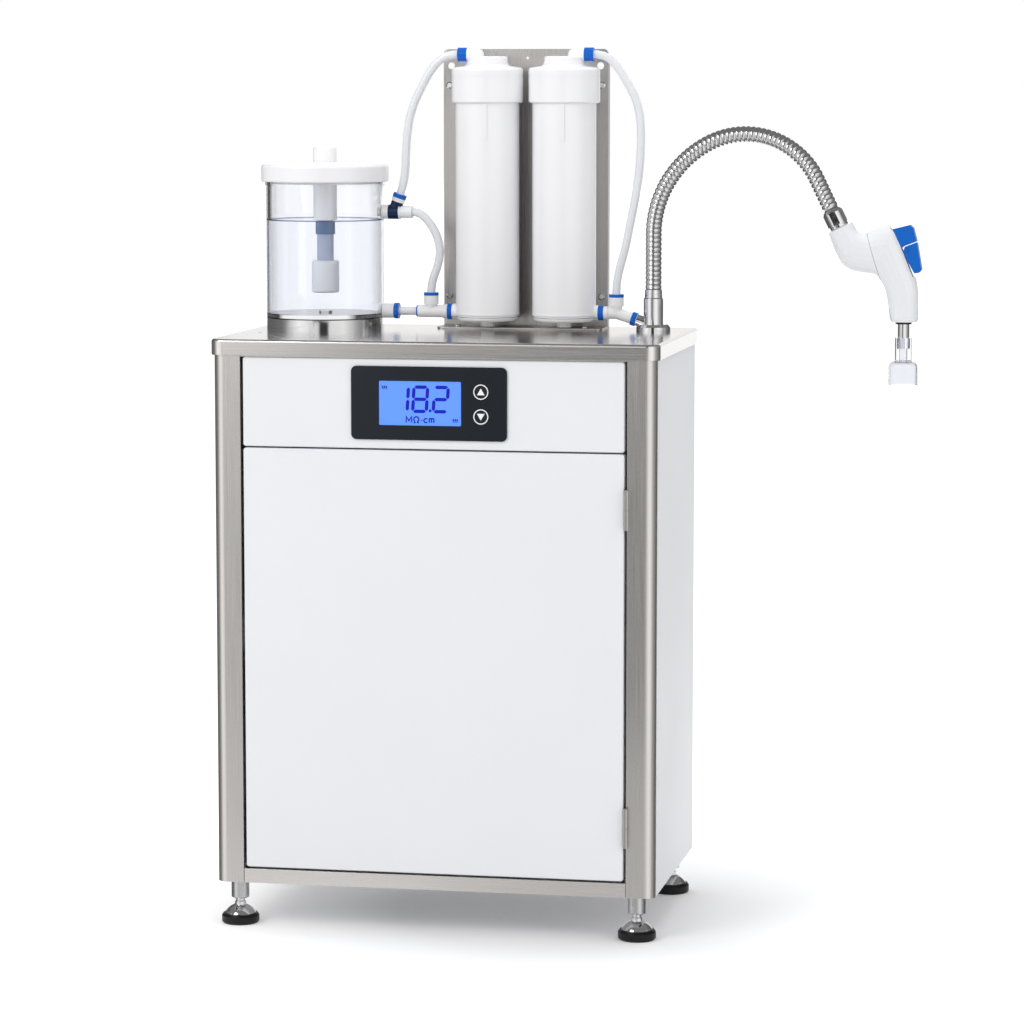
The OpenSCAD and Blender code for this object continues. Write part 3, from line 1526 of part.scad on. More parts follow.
module trigger_lever() {
    color(trigger_blue) at_gun() {
        flat_piece(lever_outline, trigger_w, 1);
        translate([trigger_pivot[0], 0, trigger_pivot[1]]) rotate([90, 0, 0])
            cylinder(h = trigger_w + 5, r = trunnion_r, center = true);
    }
}

module at_outlet(z) {
    at_gun() translate([outlet_x, 0, z]) children();
}

module outlet_seal() {
    color(rubber_black) at_outlet(handle_end - seal_h) difference() {
        cylinder(h = seal_h, r = 9);
        translate([0, 0, -1]) cylinder(h = seal_h + 2, r = outlet_dia / 2 + running_gap);
    }
}

outlet_bottom = handle_end - seal_h - outlet_len - outlet_overlap;
adaptor_top = handle_end - seal_h - outlet_len;
bell_top = adaptor_top - adaptor_len;

module outlet_tube() {
    color(chrome) at_outlet(outlet_bottom) difference() {
        cylinder(h = handle_end + outlet_in - outlet_bottom, d = outlet_dia);
        translate([0, 0, -1]) cylinder(h = 80, d = outlet_dia - 4);
    }
}

module nozzle_bell() {
    r = bell_dia / 2;
    a = adaptor_dia / 2;
    shoulder = 7;
    color(clear_plastic) at_outlet(bell_top - bell_h) rotate_extrude() difference() {
        union() {
            translate([0, bell_h]) square([a, adaptor_len]);
            square([r, bell_h - shoulder]);
            square([r - shoulder, bell_h]);
            translate([r - shoulder, bell_h - shoulder]) circle(shoulder);
        }
        translate([-1, -1]) square([r - bell_wall + 1, bell_h - shoulder + 1]);
        translate([-1, -1]) square([r - shoulder + 1, bell_h - bell_wall + 1]);
        translate([r - shoulder, bell_h - shoulder]) circle(shoulder - bell_wall);
        translate([-1, bell_h - 5]) square([4 + 1, adaptor_len]);
        translate([-1, bell_h + adaptor_len - outlet_overlap])
            square([outlet_dia / 2 + running_gap + 1, 40]);
    }
}

frame_posts();
frame_rails();
base_panel();
left_side_panel();
right_side_panel();
rear_panel();
top_plate();
control_fascia();
display_bezel();
lcd_window();
control_board();
frame_hinge_halves();
door_catch();
foot_sleeves();
bulkhead_fittings();
equipment_rail();
prefilter_heads();
prefilter_bowls();
membrane_housing();
booster_pump();
power_supply();
internal_pipes();
tank_base_ring();
tank_vessel();
tank_ports();
tank_tee();
branch_tees();
blue_collets();
tall_tubes();
short_tubes();
filter_backplate();
panel_screws();
filter_canisters();
filter_caps();
gooseneck_base();
door_panel();
door_hinge_halves();
up_button();
down_button();
gooseneck_hose();
hose_ferrules();
gun_elbow();
gun_body();
trigger_cap();
trigger_lever();
outlet_seal();
outlet_tube();
nozzle_bell();
tank_lid();
guide_tube();
float_stem();
float_bottle();
front_left_spindle();
front_right_spindle();
rear_left_spindle();
rear_right_spindle();
front_left_pad();
front_right_pad();
rear_left_pad();
rear_right_pad();
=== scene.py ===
"""Looks of the ultrapure water system: materials, fine pieces, light and camera."""
import math

import bmesh
import bpy
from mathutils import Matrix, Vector


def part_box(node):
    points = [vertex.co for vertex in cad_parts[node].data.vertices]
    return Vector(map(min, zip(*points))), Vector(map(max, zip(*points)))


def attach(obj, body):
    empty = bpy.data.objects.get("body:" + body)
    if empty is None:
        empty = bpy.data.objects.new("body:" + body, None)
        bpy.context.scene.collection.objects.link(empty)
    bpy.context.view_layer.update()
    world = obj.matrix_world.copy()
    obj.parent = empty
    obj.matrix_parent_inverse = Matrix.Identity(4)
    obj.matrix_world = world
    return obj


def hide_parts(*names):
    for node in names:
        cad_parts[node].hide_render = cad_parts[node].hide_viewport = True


MM = 0.001
WHITE = (1, 1, 1, 1)
BLACK = (0, 0, 0, 1)
# Points of a mesh that lie closer than this become one, in metres
MERGE_DISTANCE = 0.000001
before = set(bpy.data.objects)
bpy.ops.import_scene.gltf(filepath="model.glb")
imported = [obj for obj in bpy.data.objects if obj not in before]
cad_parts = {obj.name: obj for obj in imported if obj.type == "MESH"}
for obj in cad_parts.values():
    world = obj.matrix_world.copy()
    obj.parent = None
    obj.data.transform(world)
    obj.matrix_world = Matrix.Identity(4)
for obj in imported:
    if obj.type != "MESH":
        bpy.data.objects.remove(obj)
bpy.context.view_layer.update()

# ---- Places worked out from the frame ----------------------------------------

# Cabinet coordinates run from the left post's outer face, the front and the floor.
POST_LOW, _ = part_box("frame_posts")


def at_cabinet(x, y, z):
    """A point in the row frame from millimetres in cabinet coordinates."""
    return Vector((POST_LOW.x + x * MM, POST_LOW.y + y * MM, z * MM))


def middle(node):
    """The middle of a CAD node's box."""
    low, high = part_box(node)
    return (low + high) / 2


HOSE_LOW, HOSE_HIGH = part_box("gooseneck_hose")
SERVICE_Y = (HOSE_LOW.y + HOSE_HIGH.y) / 2
CANISTER_LOW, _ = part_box("filter_canisters")

# ---- Colours ------------------------------------------------------------------


def srgb(code):
    """A linear colour from six hexadecimal digits."""
    parts = [int(code[i : i + 2], 16) / 255 for i in (0, 2, 4)]
    linear = [c / 12.92 if c <= 0.04045 else ((c + 0.055) / 1.055) ** 2.4 for c in parts]
    return (*linear, 1.0)


COATED_WHITE = srgb("ebedf0")
# The side panels' white is the front's paint made a little darker: a painted shade for the sides,
# which the light reaches less
SIDE_WHITE_PAINTED_SHADE = srgb("e7e9ec")
MOULDED_WHITE = srgb("f8f8fa")
GUN_WHITE = srgb("ecedf0")
FITTING_WHITE = srgb("f0f0f1")
TUBE_WHITE = srgb("f4f6fa")
FLOAT_WHITE = srgb("f8f9fc")
PRINT_WHITE = srgb("f4f5f7")
ACRYLIC_TINT = srgb("f4f5f7")
FROSTED_TINT = srgb("eeeff2")
WATER_TINT = srgb("fafbfe")
MENISCUS_BLUE = srgb("8d9cc4")
DISPLAY_BLACK = srgb("0c151f")
KEY_BLACK = srgb("0e1319")
RUBBER_BLACK = srgb("0b0b0d")
LCD_BLUE = srgb("5a8cfc")
SEGMENT_BLUE = srgb("0410a4")
UNIT_BLUE = srgb("0a2090")
GHOST_BLUE = srgb("5a83ea")
COLLET_BLUE = srgb("0660c6")
TEE_NAVY = srgb("082448")
TRIGGER_BLUE = srgb("0464c6")
STEM_BLUE = srgb("aeb9cf")
STEM_COLLAR_BLUE = srgb("56739a")
BOARD_GREEN = srgb("1f5c38")
MOTOR_GREY = srgb("3c4148")
SEAM_GREY = srgb("8e9095")
GUN_SEAM_GREY = srgb("a4a6aa")
FLOOR_WHITE = (0.86, 0.86, 0.87, 1.0)
# How much of its shade steel keeps in red, green and blue
STEEL_TINT = (1, 0.965, 0.935)
CHROME_TINT = (1, 1, 1.01)

# ---- Nodes shared by the materials, the world and the floor ----------------------


def map_range(tree, value, low, high, to_low, to_high):
    """An output that goes from to_low to to_high as the value goes from low to high."""
    node = tree.nodes.new("ShaderNodeMapRange")
    tree.links.new(value, node.inputs["Value"])
    limits = {"From Min": low, "From Max": high, "To Min": to_low, "To Max": to_high}
    for socket, number in limits.items():
        node.inputs[socket].default_value = number
    return node.outputs["Result"]


def maths(tree, operation, *values):
    """The result of a Math node. Each value is another node's output or a number."""
    node = tree.nodes.new("ShaderNodeMath")
    node.operation = operation
    for socket, value in zip(node.inputs, values):
        if isinstance(value, (int, float)):
            socket.default_value = value
        else:
            tree.links.new(value, socket)
    return node.outputs["Value"]


def end_in_mix(tree, fac, first, second):
    """Ends a material in a mix of two shaders."""
    mix = tree.nodes.new("ShaderNodeMixShader")
    tree.links.new(fac, mix.inputs["Fac"])
    tree.links.new(first, mix.inputs[1])
    tree.links.new(second, mix.inputs[2])
    tree.links.new(mix.outputs["Shader"], tree.nodes["Material Output"].inputs["Surface"])


# ---- Materials ----------------------------------------------------------------

# Where most of a noise texture's values lie
NOISE_LOW = 0.3
NOISE_HIGH = 0.7
# Scales of the noises: fine skins first, then the broad and faint ones
SKIN = 1400
PEEL = 900
HANDLING_MARKS = 220
CLEAR_MARKS = 60
GLOW_CLOUD = 30
FLOW_MARKS = 14
COAT_CLOUD = 6
# How far a sharp edge of sheet or steel is rounded, in metres, and with how many rays
EDGE_ROUND = 0.001
EDGE_SAMPLES = 4


def principled(material):
    return material.node_tree.nodes["Principled BSDF"]


def surface(name, colour, roughness, metallic=0.0, **sockets):
    """A Principled material. Further sockets are given by name, with _ for a space."""
    material = bpy.data.materials.new(name)
    material.use_nodes = True
    shader = principled(material)
    shader.inputs["Base Color"].default_value = colour
    shader.inputs["Roughness"].default_value = roughness
    shader.inputs["Metallic"].default_value = metallic
    for socket, value in sockets.items():
        shader.inputs[socket.replace("_", " ")].default_value = value
    return material


def grain_of(material, scale, stretch=(1, 1, 1), detail=2.0):
    """A noise texture in the object's own space, stretched along its axes."""
    tree = material.node_tree
    place = tree.nodes.new("ShaderNodeTexCoord")
    mapping = tree.nodes.new("ShaderNodeMapping")
    mapping.inputs["Scale"].default_value = stretch
    noise = tree.nodes.new("ShaderNodeTexNoise")
    noise.inputs["Scale"].default_value = scale
    noise.inputs["Detail"].default_value = detail
    tree.links.new(place.outputs["Object"], mapping.inputs["Vector"])
    tree.links.new(mapping.outputs["Vector"], noise.inputs["Vector"])
    return noise.outputs["Fac"]


def vary_roughness(material, noise, low, high):
    """A roughness that goes from low to high as the noise does."""
    tree = material.node_tree
    result = map_range(tree, noise, NOISE_LOW, NOISE_HIGH, low, high)
    tree.links.new(result, principled(material).inputs["Roughness"])


def vary_colour(material, noise, colour, spread):
    """The colour, lightened and darkened a little where the noise says."""
    tree = material.node_tree
    mix = tree.nodes.new("ShaderNodeMix")
    mix.data_type = "RGBA"
    mix.inputs["A"].default_value = [c * (1 - spread) for c in colour[:3]] + [1.0]
    mix.inputs["B"].default_value = [min(1.0, c * (1 + spread)) for c in colour[:3]] + [1.0]
    share = map_range(tree, noise, NOISE_LOW, NOISE_HIGH, 0.0, 1.0)
    tree.links.new(share, mix.inputs["Factor"])
    tree.links.new(mix.outputs["Result"], principled(material).inputs["Base Color"])


def add_bump(material, noise, strength, depth, edge=0.0):
    """Bump from a noise, over sharp edges that are rounded by a hair where edge says so."""
    tree = material.node_tree
    bump = tree.nodes.new("ShaderNodeBump")
    bump.inputs["Strength"].default_value = strength
    bump.inputs["Distance"].default_value = depth
    if edge:
        rounded = tree.nodes.new("ShaderNodeBevel")
        rounded.samples = EDGE_SAMPLES
        rounded.inputs["Radius"].default_value = edge
        tree.links.new(rounded.outputs["Normal"], bump.inputs["Normal"])
    tree.links.new(noise, bump.inputs["Height"])
    tree.links.new(bump.outputs["Normal"], principled(material).inputs["Normal"])


def brushed_steel(name, shade, grain, roughness, streaks):
    """Stainless sheet with a fine grain along the axis that is stretched least."""
    colour = (*[shade * tint for tint in STEEL_TINT], 1.0)
    material = surface(name, colour, roughness, metallic=1.0)
    fine = grain_of(material, 1.0, grain, detail=6.0)
    vary_roughness(material, fine, roughness * 0.8, roughness * 1.3)
    vary_colour(material, fine, colour, streaks)
    add_bump(material, fine, 0.12, 0.0002, EDGE_ROUND)
    return material


def powder_coat(name, colour):
    """Painted sheet: a fine orange-peel surface with a soft gloss."""
    material = surface(name, colour, 0.38, Specular_IOR_Level=0.45)
    add_bump(material, grain_of(material, PEEL), 0.05, 0.0001, EDGE_ROUND)
    cloud = grain_of(material, COAT_CLOUD)
    vary_roughness(material, cloud, 0.34, 0.42)
    vary_colour(material, cloud, colour, 0.006)
    return material


def moulded(name, colour, roughness, **sockets):
    """Injection-moulded plastic: nearly smooth, with faint flow marks."""
    material = surface(name, colour, roughness, **sockets)
    flow = grain_of(material, FLOW_MARKS)
    vary_roughness(material, flow, roughness * 0.95, roughness * 1.05)
    vary_colour(material, flow, colour, 0.003)
    add_bump(material, grain_of(material, SKIN), 0.02, 0.00003)
    return material


def banded(name, colour, band_colour, bands, across=(0, 0, 1)):
    """Moulded plastic with bands of another colour, from one place to another along across."""
    material = moulded(name, colour, 0.26)
    tree = material.node_tree
    place = tree.nodes.new("ShaderNodeTexCoord")
    along = tree.nodes.new("ShaderNodeVectorMath")
    along.operation = "DOT_PRODUCT"
    tree.links.new(place.outputs["Object"], along.inputs[0])
    along.inputs[1].default_value = across
    base = principled(material).inputs["Base Color"]
    below = base.links[0].from_socket
    for low, high in bands:
        mix = tree.nodes.new("ShaderNodeMix")
        mix.data_type = "RGBA"
        centre, reach = (low + high) / 2, (high - low) / 2
        inside = maths(tree, "COMPARE", along.outputs["Value"], centre, reach)
        tree.links.new(inside, mix.inputs["Factor"])
        tree.links.new(below, mix.inputs["A"])
        mix.inputs["B"].default_value = band_colour
        below = mix.outputs["Result"]
    tree.links.new(below, base)
    return material


def polished(name, shade, roughness):
    """Chromed or polished steel with faint handling marks."""
    colour = (*[shade * tint for tint in CHROME_TINT], 1.0)
    material = surface(name, colour, roughness, metallic=1.0)
    marks = grain_of(material, HANDLING_MARKS, detail=5.0)
    vary_roughness(material, marks, roughness * 0.7, roughness * 1.5)
    return material


def clear(name, colour, roughness, refraction):
    """See-through plastic or water, which lets the lamps light what is inside."""
    material = surface(
        name, colour, roughness, Transmission_Weight=1.0, IOR=refraction, Specular_IOR_Level=0.5
    )
    marks = grain_of(material, CLEAR_MARKS, detail=3.0)
    vary_roughness(material, marks, roughness * 0.6, roughness * 1.6)
    let_light_through(material, colour)
    return material


def let_light_through(material, colour):
    """Shadow rays pass, tinted by the colour."""
    tree = material.node_tree
    path = tree.nodes.new("ShaderNodeLightPath")
    passing = tree.nodes.new("ShaderNodeBsdfTransparent")
    passing.inputs["Color"].default_value = colour
    solid = principled(material).outputs["BSDF"]
    end_in_mix(tree, path.outputs["Is Shadow Ray"], solid, passing.outputs["BSDF"])


def glowing(name, colour, strength):
    """A lit display surface under gloss."""
    material = surface(name, colour, 0.2)
    vary_colour(material, grain_of(material, GLOW_CLOUD), colour, 0.02)
    shader = principled(material)
    shader.inputs["Emission Color"].default_value = colour
    shader.inputs["Emission Strength"].default_value = strength
    return material


# How the brushed grain is stretched: upright, level, and along the top plate
UPRIGHT = (2600, 2600, 9)
LEVEL = (9, 2600, 2600)
PLATE = (8, 2400, 2400)
# Heights of the coloured collar on the float's stem
STEM_COLLAR = [(0.763, 0.782)]
# The fine seam above each canister's foot
CANISTER_SEAM = [(CANISTER_LOW.z + 0.0108, CANISTER_LOW.z + 0.0116)]
# The parting line between the gun's elbow and its handle, and the direction it is across
GUN_SEAM = [(0.5501, 0.5508)]
GUN_SEAM_ACROSS = (1, 0, 0.3)

POST_STEEL = brushed_steel("post_steel", 0.68, UPRIGHT, roughness=0.25, streaks=0.05)
# The rails take the posts' stainless made lighter: painted light for the brighter reflection they show
RAIL_STEEL_PAINTED_LIGHT = brushed_steel("rail_steel_painted_light", 0.78, LEVEL, roughness=0.25, streaks=0.04)
PLATE_STEEL = brushed_steel("plate_steel", 0.74, PLATE, roughness=0.15, streaks=0.05)
HINGE_STEEL = brushed_steel("hinge_steel", 0.46, UPRIGHT, roughness=0.22, streaks=0.04)
BACK_STEEL = brushed_steel("back_steel", 0.5, UPRIGHT, roughness=0.3, streaks=0.06)
CHROME = polished("chrome", 0.72, roughness=0.07)
# The hose takes the chrome made darker: a painted shade for the darker reflections it shows
HOSE_CHROME_PAINTED_SHADE = polished("hose_chrome_painted_shade", 0.64, roughness=0.08)
SATIN_CHROME = polished("satin_chrome", 0.55, roughness=0.2)
COAT = powder_coat("white_powder_coat", COATED_WHITE)
# The front's powder coat, darkened as a painted shade for the side panels
SIDE_COAT_PAINTED_SHADE = powder_coat("side_powder_coat_painted_shade", SIDE_WHITE_PAINTED_SHADE)
MOTOR = powder_coat("motor_paint", MOTOR_GREY)
WHITE_PLASTIC = moulded("white_plastic", MOULDED_WHITE, 0.24)
FITTING_PLASTIC = moulded("fitting_plastic", FITTING_WHITE, 0.3)
BEZEL = moulded("bezel_plastic", DISPLAY_BLACK, 0.16, Coat_Weight=0.3, Coat_Roughness=0.05)
KEY = moulded("key_plastic", KEY_BLACK, 0.3)
PRINT = moulded("printed_white", PRINT_WHITE, 0.4)
COLLET = moulded("collet_plastic", COLLET_BLUE, 0.3, Specular_IOR_Level=0.25)
NAVY = moulded("navy_plastic", TEE_NAVY, 0.3, Specular_IOR_Level=0.25)
TRIGGER = moulded("trigger_plastic", TRIGGER_BLUE, 0.3, Specular_IOR_Level=0.25)
RUBBER = moulded("black_rubber", RUBBER_BLACK, 0.42, Specular_IOR_Level=0.3)
BOARD = moulded("circuit_board", BOARD_GREEN, 0.45)
TUBING = moulded("tube_plastic", TUBE_WHITE, 0.22, Transmission_Weight=0.12, IOR=1.4)
FLOAT = moulded("float_plastic", FLOAT_WHITE, 0.3, Transmission_Weight=0.12, IOR=1.2)
STEM = banded("stem_plastic", STEM_BLUE, STEM_COLLAR_BLUE, STEM_COLLAR)
CANISTER = banded("canister_plastic", MOULDED_WHITE, SEAM_GREY, CANISTER_SEAM)
GUN = banded("gun_plastic", GUN_WHITE, GUN_SEAM_GREY, GUN_SEAM, GUN_SEAM_ACROSS)
ACRYLIC = clear("clear_acrylic", ACRYLIC_TINT, 0.02, refraction=1.45)
FROSTED = clear("frosted_plastic", FROSTED_TINT, 0.12, refraction=1.14)
WATER = clear("still_water", WATER_TINT, 0.01, refraction=1.03)
MENISCUS = clear("water_line", MENISCUS_BLUE, 0.05, refraction=1.2)
LCD = glowing("lcd_backlight", LCD_BLUE, 0.36)
SEGMENTS = glowing("lcd_segments", SEGMENT_BLUE, 0.4)
UNITS = glowing("lcd_units", UNIT_BLUE, 0.4)
GHOSTS = glowing("lcd_ghosts", GHOST_BLUE, 0.5)

NODE_MATERIALS = {
    POST_STEEL: ["frame_posts", "door_catch"],
    HINGE_STEEL: ["frame_hinge_halves", "door_hinge_halves"],
    RAIL_STEEL_PAINTED_LIGHT: ["frame_rails", "power_supply"],
    PLATE_STEEL: ["top_plate"],
    BACK_STEEL: ["filter_backplate"],
    COAT: ["control_fascia", "door_panel", "base_panel", "rear_panel", "equipment_rail"],
    SIDE_COAT_PAINTED_SHADE: ["left_side_panel", "right_side_panel"],
    BEZEL: ["display_bezel"],
    KEY: ["up_button", "down_button"],
    LCD: ["lcd_window"],
    BOARD: ["control_board"],
    WHITE_PLASTIC: [
        "filter_caps", "tank_lid", "guide_tube", "prefilter_heads", "prefilter_bowls",
        "membrane_housing", "internal_pipes",
    ],
    CANISTER: ["filter_canisters"],
    GUN: ["gun_elbow", "gun_body"],
    FITTING_PLASTIC: ["bulkhead_fittings", "tank_ports", "branch_tees"],
    ACRYLIC: ["tank_vessel"],
    FROSTED: ["nozzle_bell"],
    COLLET: ["blue_collets"],
    NAVY: ["tank_tee"],
    TRIGGER: ["trigger_cap", "trigger_lever"],
    STEM: ["float_stem"],
    FLOAT: ["float_bottle"],
    CHROME: ["tank_base_ring", "panel_screws", "gooseneck_base", "hose_ferrules", "outlet_tube"],
    SATIN_CHROME: ["foot_sleeves"],
    MOTOR: ["booster_pump"],
    RUBBER: ["outlet_seal"],
    TUBING: ["tall_tubes", "short_tubes"],
}
FEET = [f"{end}_{side}" for end in ("front", "rear") for side in ("left", "right")]


def dress_node(name, material):
    """Gives a CAD node its material."""
    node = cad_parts[name]
    node.data.materials.clear()
    node.data.materials.append(material)


def dress_nodes():
    for material, names in NODE_MATERIALS.items():
        for name in names:
            dress_node(name, material)
    for foot in FEET:
        dress_node(foot + "_spindle", CHROME)
        dress_node(foot + "_pad", RUBBER)


# ---- Building pieces -----------------------------------------------------------


def add_object(name, data):
    made = bpy.data.objects.new(name, data)
    bpy.context.scene.collection.objects.link(made)
    return made


def piece(name, mesh, body, material):
    """An object made of a mesh, riding on a body."""
    mesh.materials.append(material)
    made = add_object(name, mesh)
    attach(made, body)
    return made


def mesh_from(build, name, smooth=False, centre=None):
    """The mesh of a build with all its faces turned outwards, moved to centre if it is given."""
    bmesh.ops.recalc_face_normals(build, faces=build.faces)
    if centre:
        bmesh.ops.translate(build, verts=build.verts, vec=centre)
    mesh = bpy.data.meshes.new(name)
    build.to_mesh(mesh)
    build.free()
    for face in mesh.polygons:
        face.use_smooth = smooth
    return mesh


def turns_of(sides):
    """The angles of the corners of a regular shape."""
    return [2 * math.pi * k / sides for k in range(sides)]


def swept(name, centres, radii, sides, bore):
    """A pipe mesh whose rings stand on a path in the service plane."""
    build = bmesh.new()
    across = Vector((0, 1, 0))

    def ring(i, radius):
        ahead = centres[min(i + 1, len(centres) - 1)] - centres[max(i - 1, 0)]
        out = ahead.normalized().cross(across)
        return [
            build.verts.new(centres[i] + radius * (math.cos(a) * across + math.sin(a) * out))
            for a in turns_of(sides)
        ]

    def bridge(a, b):
        for k in range(sides):
            build.faces.new((a[k], a[(k + 1) % sides], b[(k + 1) % sides], b[k]))

    outer = [ring(i, radii[i]) for i in range(len(centres))]
    for a, b in zip(outer, outer[1:]):
        bridge(b, a)
    inner = [ring(i, bore) for i in range(len(centres))]
    for a, b in zip(inner, inner[1:]):
        bridge(a, b)
    bridge(outer[0], inner[0])
    bridge(inner[-1], outer[-1])
    return mesh_from(build, name, smooth=True)


def revolved(name, profile, centre, steps, closed=False):
    """A mesh turned about a vertical axis through centre, from (radius, height) pairs."""
    build = bmesh.new()
    verts = [build.verts.new((r, 0, z)) for r, z in profile]
    edges = [build.edges.new(pair) for pair in zip(verts, verts[1:])]
    if closed:
        edges.append(build.edges.new((verts[-1], verts[0])))
    bmesh.ops.spin(
        build, geom=verts + edges, cent=(0, 0, 0), axis=(0, 0, 1), angle=2 * math.pi,
        steps=steps, use_merge=True,
    )
    bmesh.ops.remove_doubles(build, verts=build.verts, dist=MERGE_DISTANCE)
    return mesh_from(build, name, smooth=True, centre=centre)


# How thick a printed shape is
INK = 0.12 * MM


def printed_shape(build, outline, origin):
    """A flat shape on the front: outline in (right, up) pairs, its back on the origin's plane."""
    front = [build.verts.new(origin + Vector((u, -INK, v))) for u, v in outline]
    back = [build.verts.new(origin + Vector((u, 0, v))) for u, v in outline]
    build.faces.new(front)
    build.faces.new(back[::-1])
    count = len(outline)
    for k in range(count):
        build.faces.new((front[k], back[k], back[(k + 1) % count], front[(k + 1) % count]))


# ---- Gooseneck hose -------------------------------------------------------------

HOSE_RADIUS = 9.3 * MM
HOSE_BORE = 4.5 * MM
HOSE_SIDES = 28
RIB_PITCH = 5.4 * MM
RIB_DEPTH = 1.1 * MM
HOSE_RISER = 62.5 * MM
HOSE_TAIL = 39.5 * MM
# Radius and angle of each bend, in millimetres and degrees
HOSE_BENDS = [(115.5, 62.5), (90, 82), (77, 9.5)]
# How far round one rib each ring lies, and how deep below the crest
RIB_PROFILE = [
    (0.0, 1.0), (0.1, 0.55), (0.24, 0.12), (0.42, 0.0), (0.6, 0.0), (0.78, 0.12), (0.92, 0.55),
]
POINTS_PER_RIB = 8
STEPS_PER_POINT = 24
# A place on the hose within this of the end of a run counts as past it, in metres
RUN_END = 1e-9


def hose_centreline(step):
    """Points along the hose from its foot, one every step."""
    point = Vector((HOSE_LOW.x + HOSE_RADIUS, SERVICE_Y, HOSE_LOW.z))
    heading = math.pi / 2
    points = [point.copy()]
    # Each run's length and curvature
    runs = [(HOSE_RISER, 0.0)]
    for radius, angle in HOSE_BENDS:
        runs.append((radius * MM * math.radians(angle), 1 / (radius * MM)))
    runs.append((HOSE_TAIL, 0.0))
    travelled = [0.0]
    for length, curve in runs:
        travelled.append(travelled[-1] + length)
    total = sum(length for length, curve in runs)
    count = round(total / step)
    fine = total / count / STEPS_PER_POINT
    position = 0.0
    for _ in range(count):
        for _ in range(STEPS_PER_POINT):
            run = max(i for i in range(len(runs)) if travelled[i] <= position + RUN_END)
            turn = runs[run][1] * fine
            middle = heading - turn / 2
            point = point + fine * Vector((math.cos(middle), 0, math.sin(middle)))
            heading -= turn
            position += fine
        points.append(point.copy())
    return points


def between(points, where):
    """The point at a fractional index along a list of points."""
    index = min(int(where), len(points) - 2)
    return points[index].lerp(points[index + 1], where - index)


def gooseneck_hose():
    """The ribbed hose, one rib after another along its centreline."""
    line = hose_centreline(RIB_PITCH / POINTS_PER_RIB)
    centres, radii = [], []
    for rib in range((len(line) - 1) // POINTS_PER_RIB):
        for share, depth in RIB_PROFILE:
            centres.append(between(line, (rib + share) * POINTS_PER_RIB))
            radii.append(HOSE_RADIUS - depth * RIB_DEPTH)
    centres.append(line[-1])
    radii.append(HOSE_RADIUS - RIB_DEPTH)
    mesh = swept("ribbed_hose", centres, radii, HOSE_SIDES, HOSE_BORE)
    made = piece("ribbed_hose", mesh, "gooseneck", HOSE_CHROME_PAINTED_SHADE)
    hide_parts("gooseneck_hose")


# ---- Display -----------------------------------------------------------------------

LCD_LOW, LCD_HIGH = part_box("lcd_window")
LCD_RIM = 4 * MM
LCD_WIDTH = LCD_HIGH.x - LCD_LOW.x - 2 * LCD_RIM
LCD_HEIGHT = LCD_HIGH.z - LCD_LOW.z - 2 * LCD_RIM
LCD_CORNER = Vector((LCD_LOW.x + LCD_RIM, LCD_LOW.y, LCD_LOW.z + LCD_RIM))
SEGMENT_WIDTH = 3.7 * MM
SEGMENT_GAP = 0.45 * MM
DIGIT_SLANT = 0.06
DIGIT_HEIGHT = 26.5 * MM
DIGIT_WIDTH = 15.2 * MM
DIGIT_BASE = 15.6 * MM
# The left edge of each digit on the window, and the segments that are lit:
# a top, b upper right, c lower right, d bottom, e lower left, f upper left, g middle
DIGITS = [(16.2 * MM, "bc"), (37.6 * MM, "abcdefg"), (60.5 * MM, "abdeg")]
DECIMAL_POINT = (57 * MM, DIGIT_BASE + 0.8 * MM)
DECIMAL_POINT_RADIUS = 1.6 * MM
DOT_SIDES = 20
# Each corner icon's left and lower edge, width, height and number of blocks
DARK_ICONS = [
    (3.2 * MM, LCD_HEIGHT - 9 * MM, 6.4 * MM, 3.6 * MM, 3),
    (LCD_WIDTH - 9.4 * MM, 4.2 * MM, 6.4 * MM, 3.6 * MM, 3),
]
GHOST_ICONS = [
    (LCD_WIDTH - 9 * MM, LCD_HEIGHT - 8.5 * MM, 5.6 * MM, 3.2 * MM, 2),
    (3.4 * MM, 4.6 * MM, 4.4 * MM, 2.8 * MM, 2),
]
# Shares of an icon's step or height: a block's width, a block's foot and the line's top
BLOCK_WIDTH = 0.7
BLOCK_FOOT = 0.3
LINE_TOP = 0.15


def segment(start, end, width):
    """A bar with pointed ends between two points."""
    along = (Vector(end) - Vector(start)).normalized()
    side = Vector((-along.y, along.x)) * width / 2
    tip = along * width / 2
    a, b = Vector(start) + along * SEGMENT_GAP, Vector(end) - along * SEGMENT_GAP
    return [a, a + tip + side, b - tip + side, b, b - tip - side, a + tip - side]


def digit_outlines(left, lit):
    """The lit segments of one digit, which leans a little to the right."""
    top, mid, low = DIGIT_HEIGHT, DIGIT_HEIGHT / 2, 0.0
    right = DIGIT_WIDTH
    bars = {
        "a": ((0, top), (right, top)), "b": ((right, mid), (right, top)),
        "c": ((right, low), (right, mid)), "d": ((0, low), (right, low)),
        "e": ((0, low), (0, mid)), "f": ((0, mid), (0, top)), "g": ((0, mid), (right, mid)),
    }
    outlines = []
    for name in lit:
        bar = segment(*bars[name], SEGMENT_WIDTH)
        outlines.append([(left + p.x + DIGIT_SLANT * p.y, DIGIT_BASE + p.y) for p in bar])
    return outlines


def round_dot(u, v, radius):
    return [(u + radius * math.cos(t), v + radius * math.sin(t)) for t in turns_of(DOT_SIDES)]


def rectangle(left, low, right, high):
    return [(left, low), (right, low), (right, high), (left, high)]


def bar_icon(u, v, width, height, bars):
    """A small row of blocks with a line under it, as such displays have in their corners."""
    step = width / bars
    foot, top = v + BLOCK_FOOT * height, v + height
    blocks = [
        rectangle(u + k * step, foot, u + (k + BLOCK_WIDTH) * step, top) for k in range(bars)
    ]
    return blocks + [rectangle(u, v, u + width, v + LINE_TOP * height)]


def show_on_lcd(name, outlines, material):
    """Flat shapes on the display window, as one piece."""
    build = bmesh.new()
    for outline in outlines:
        printed_shape(build, outline, LCD_CORNER)
    piece(name, mesh_from(build, name), "cabinet", material)


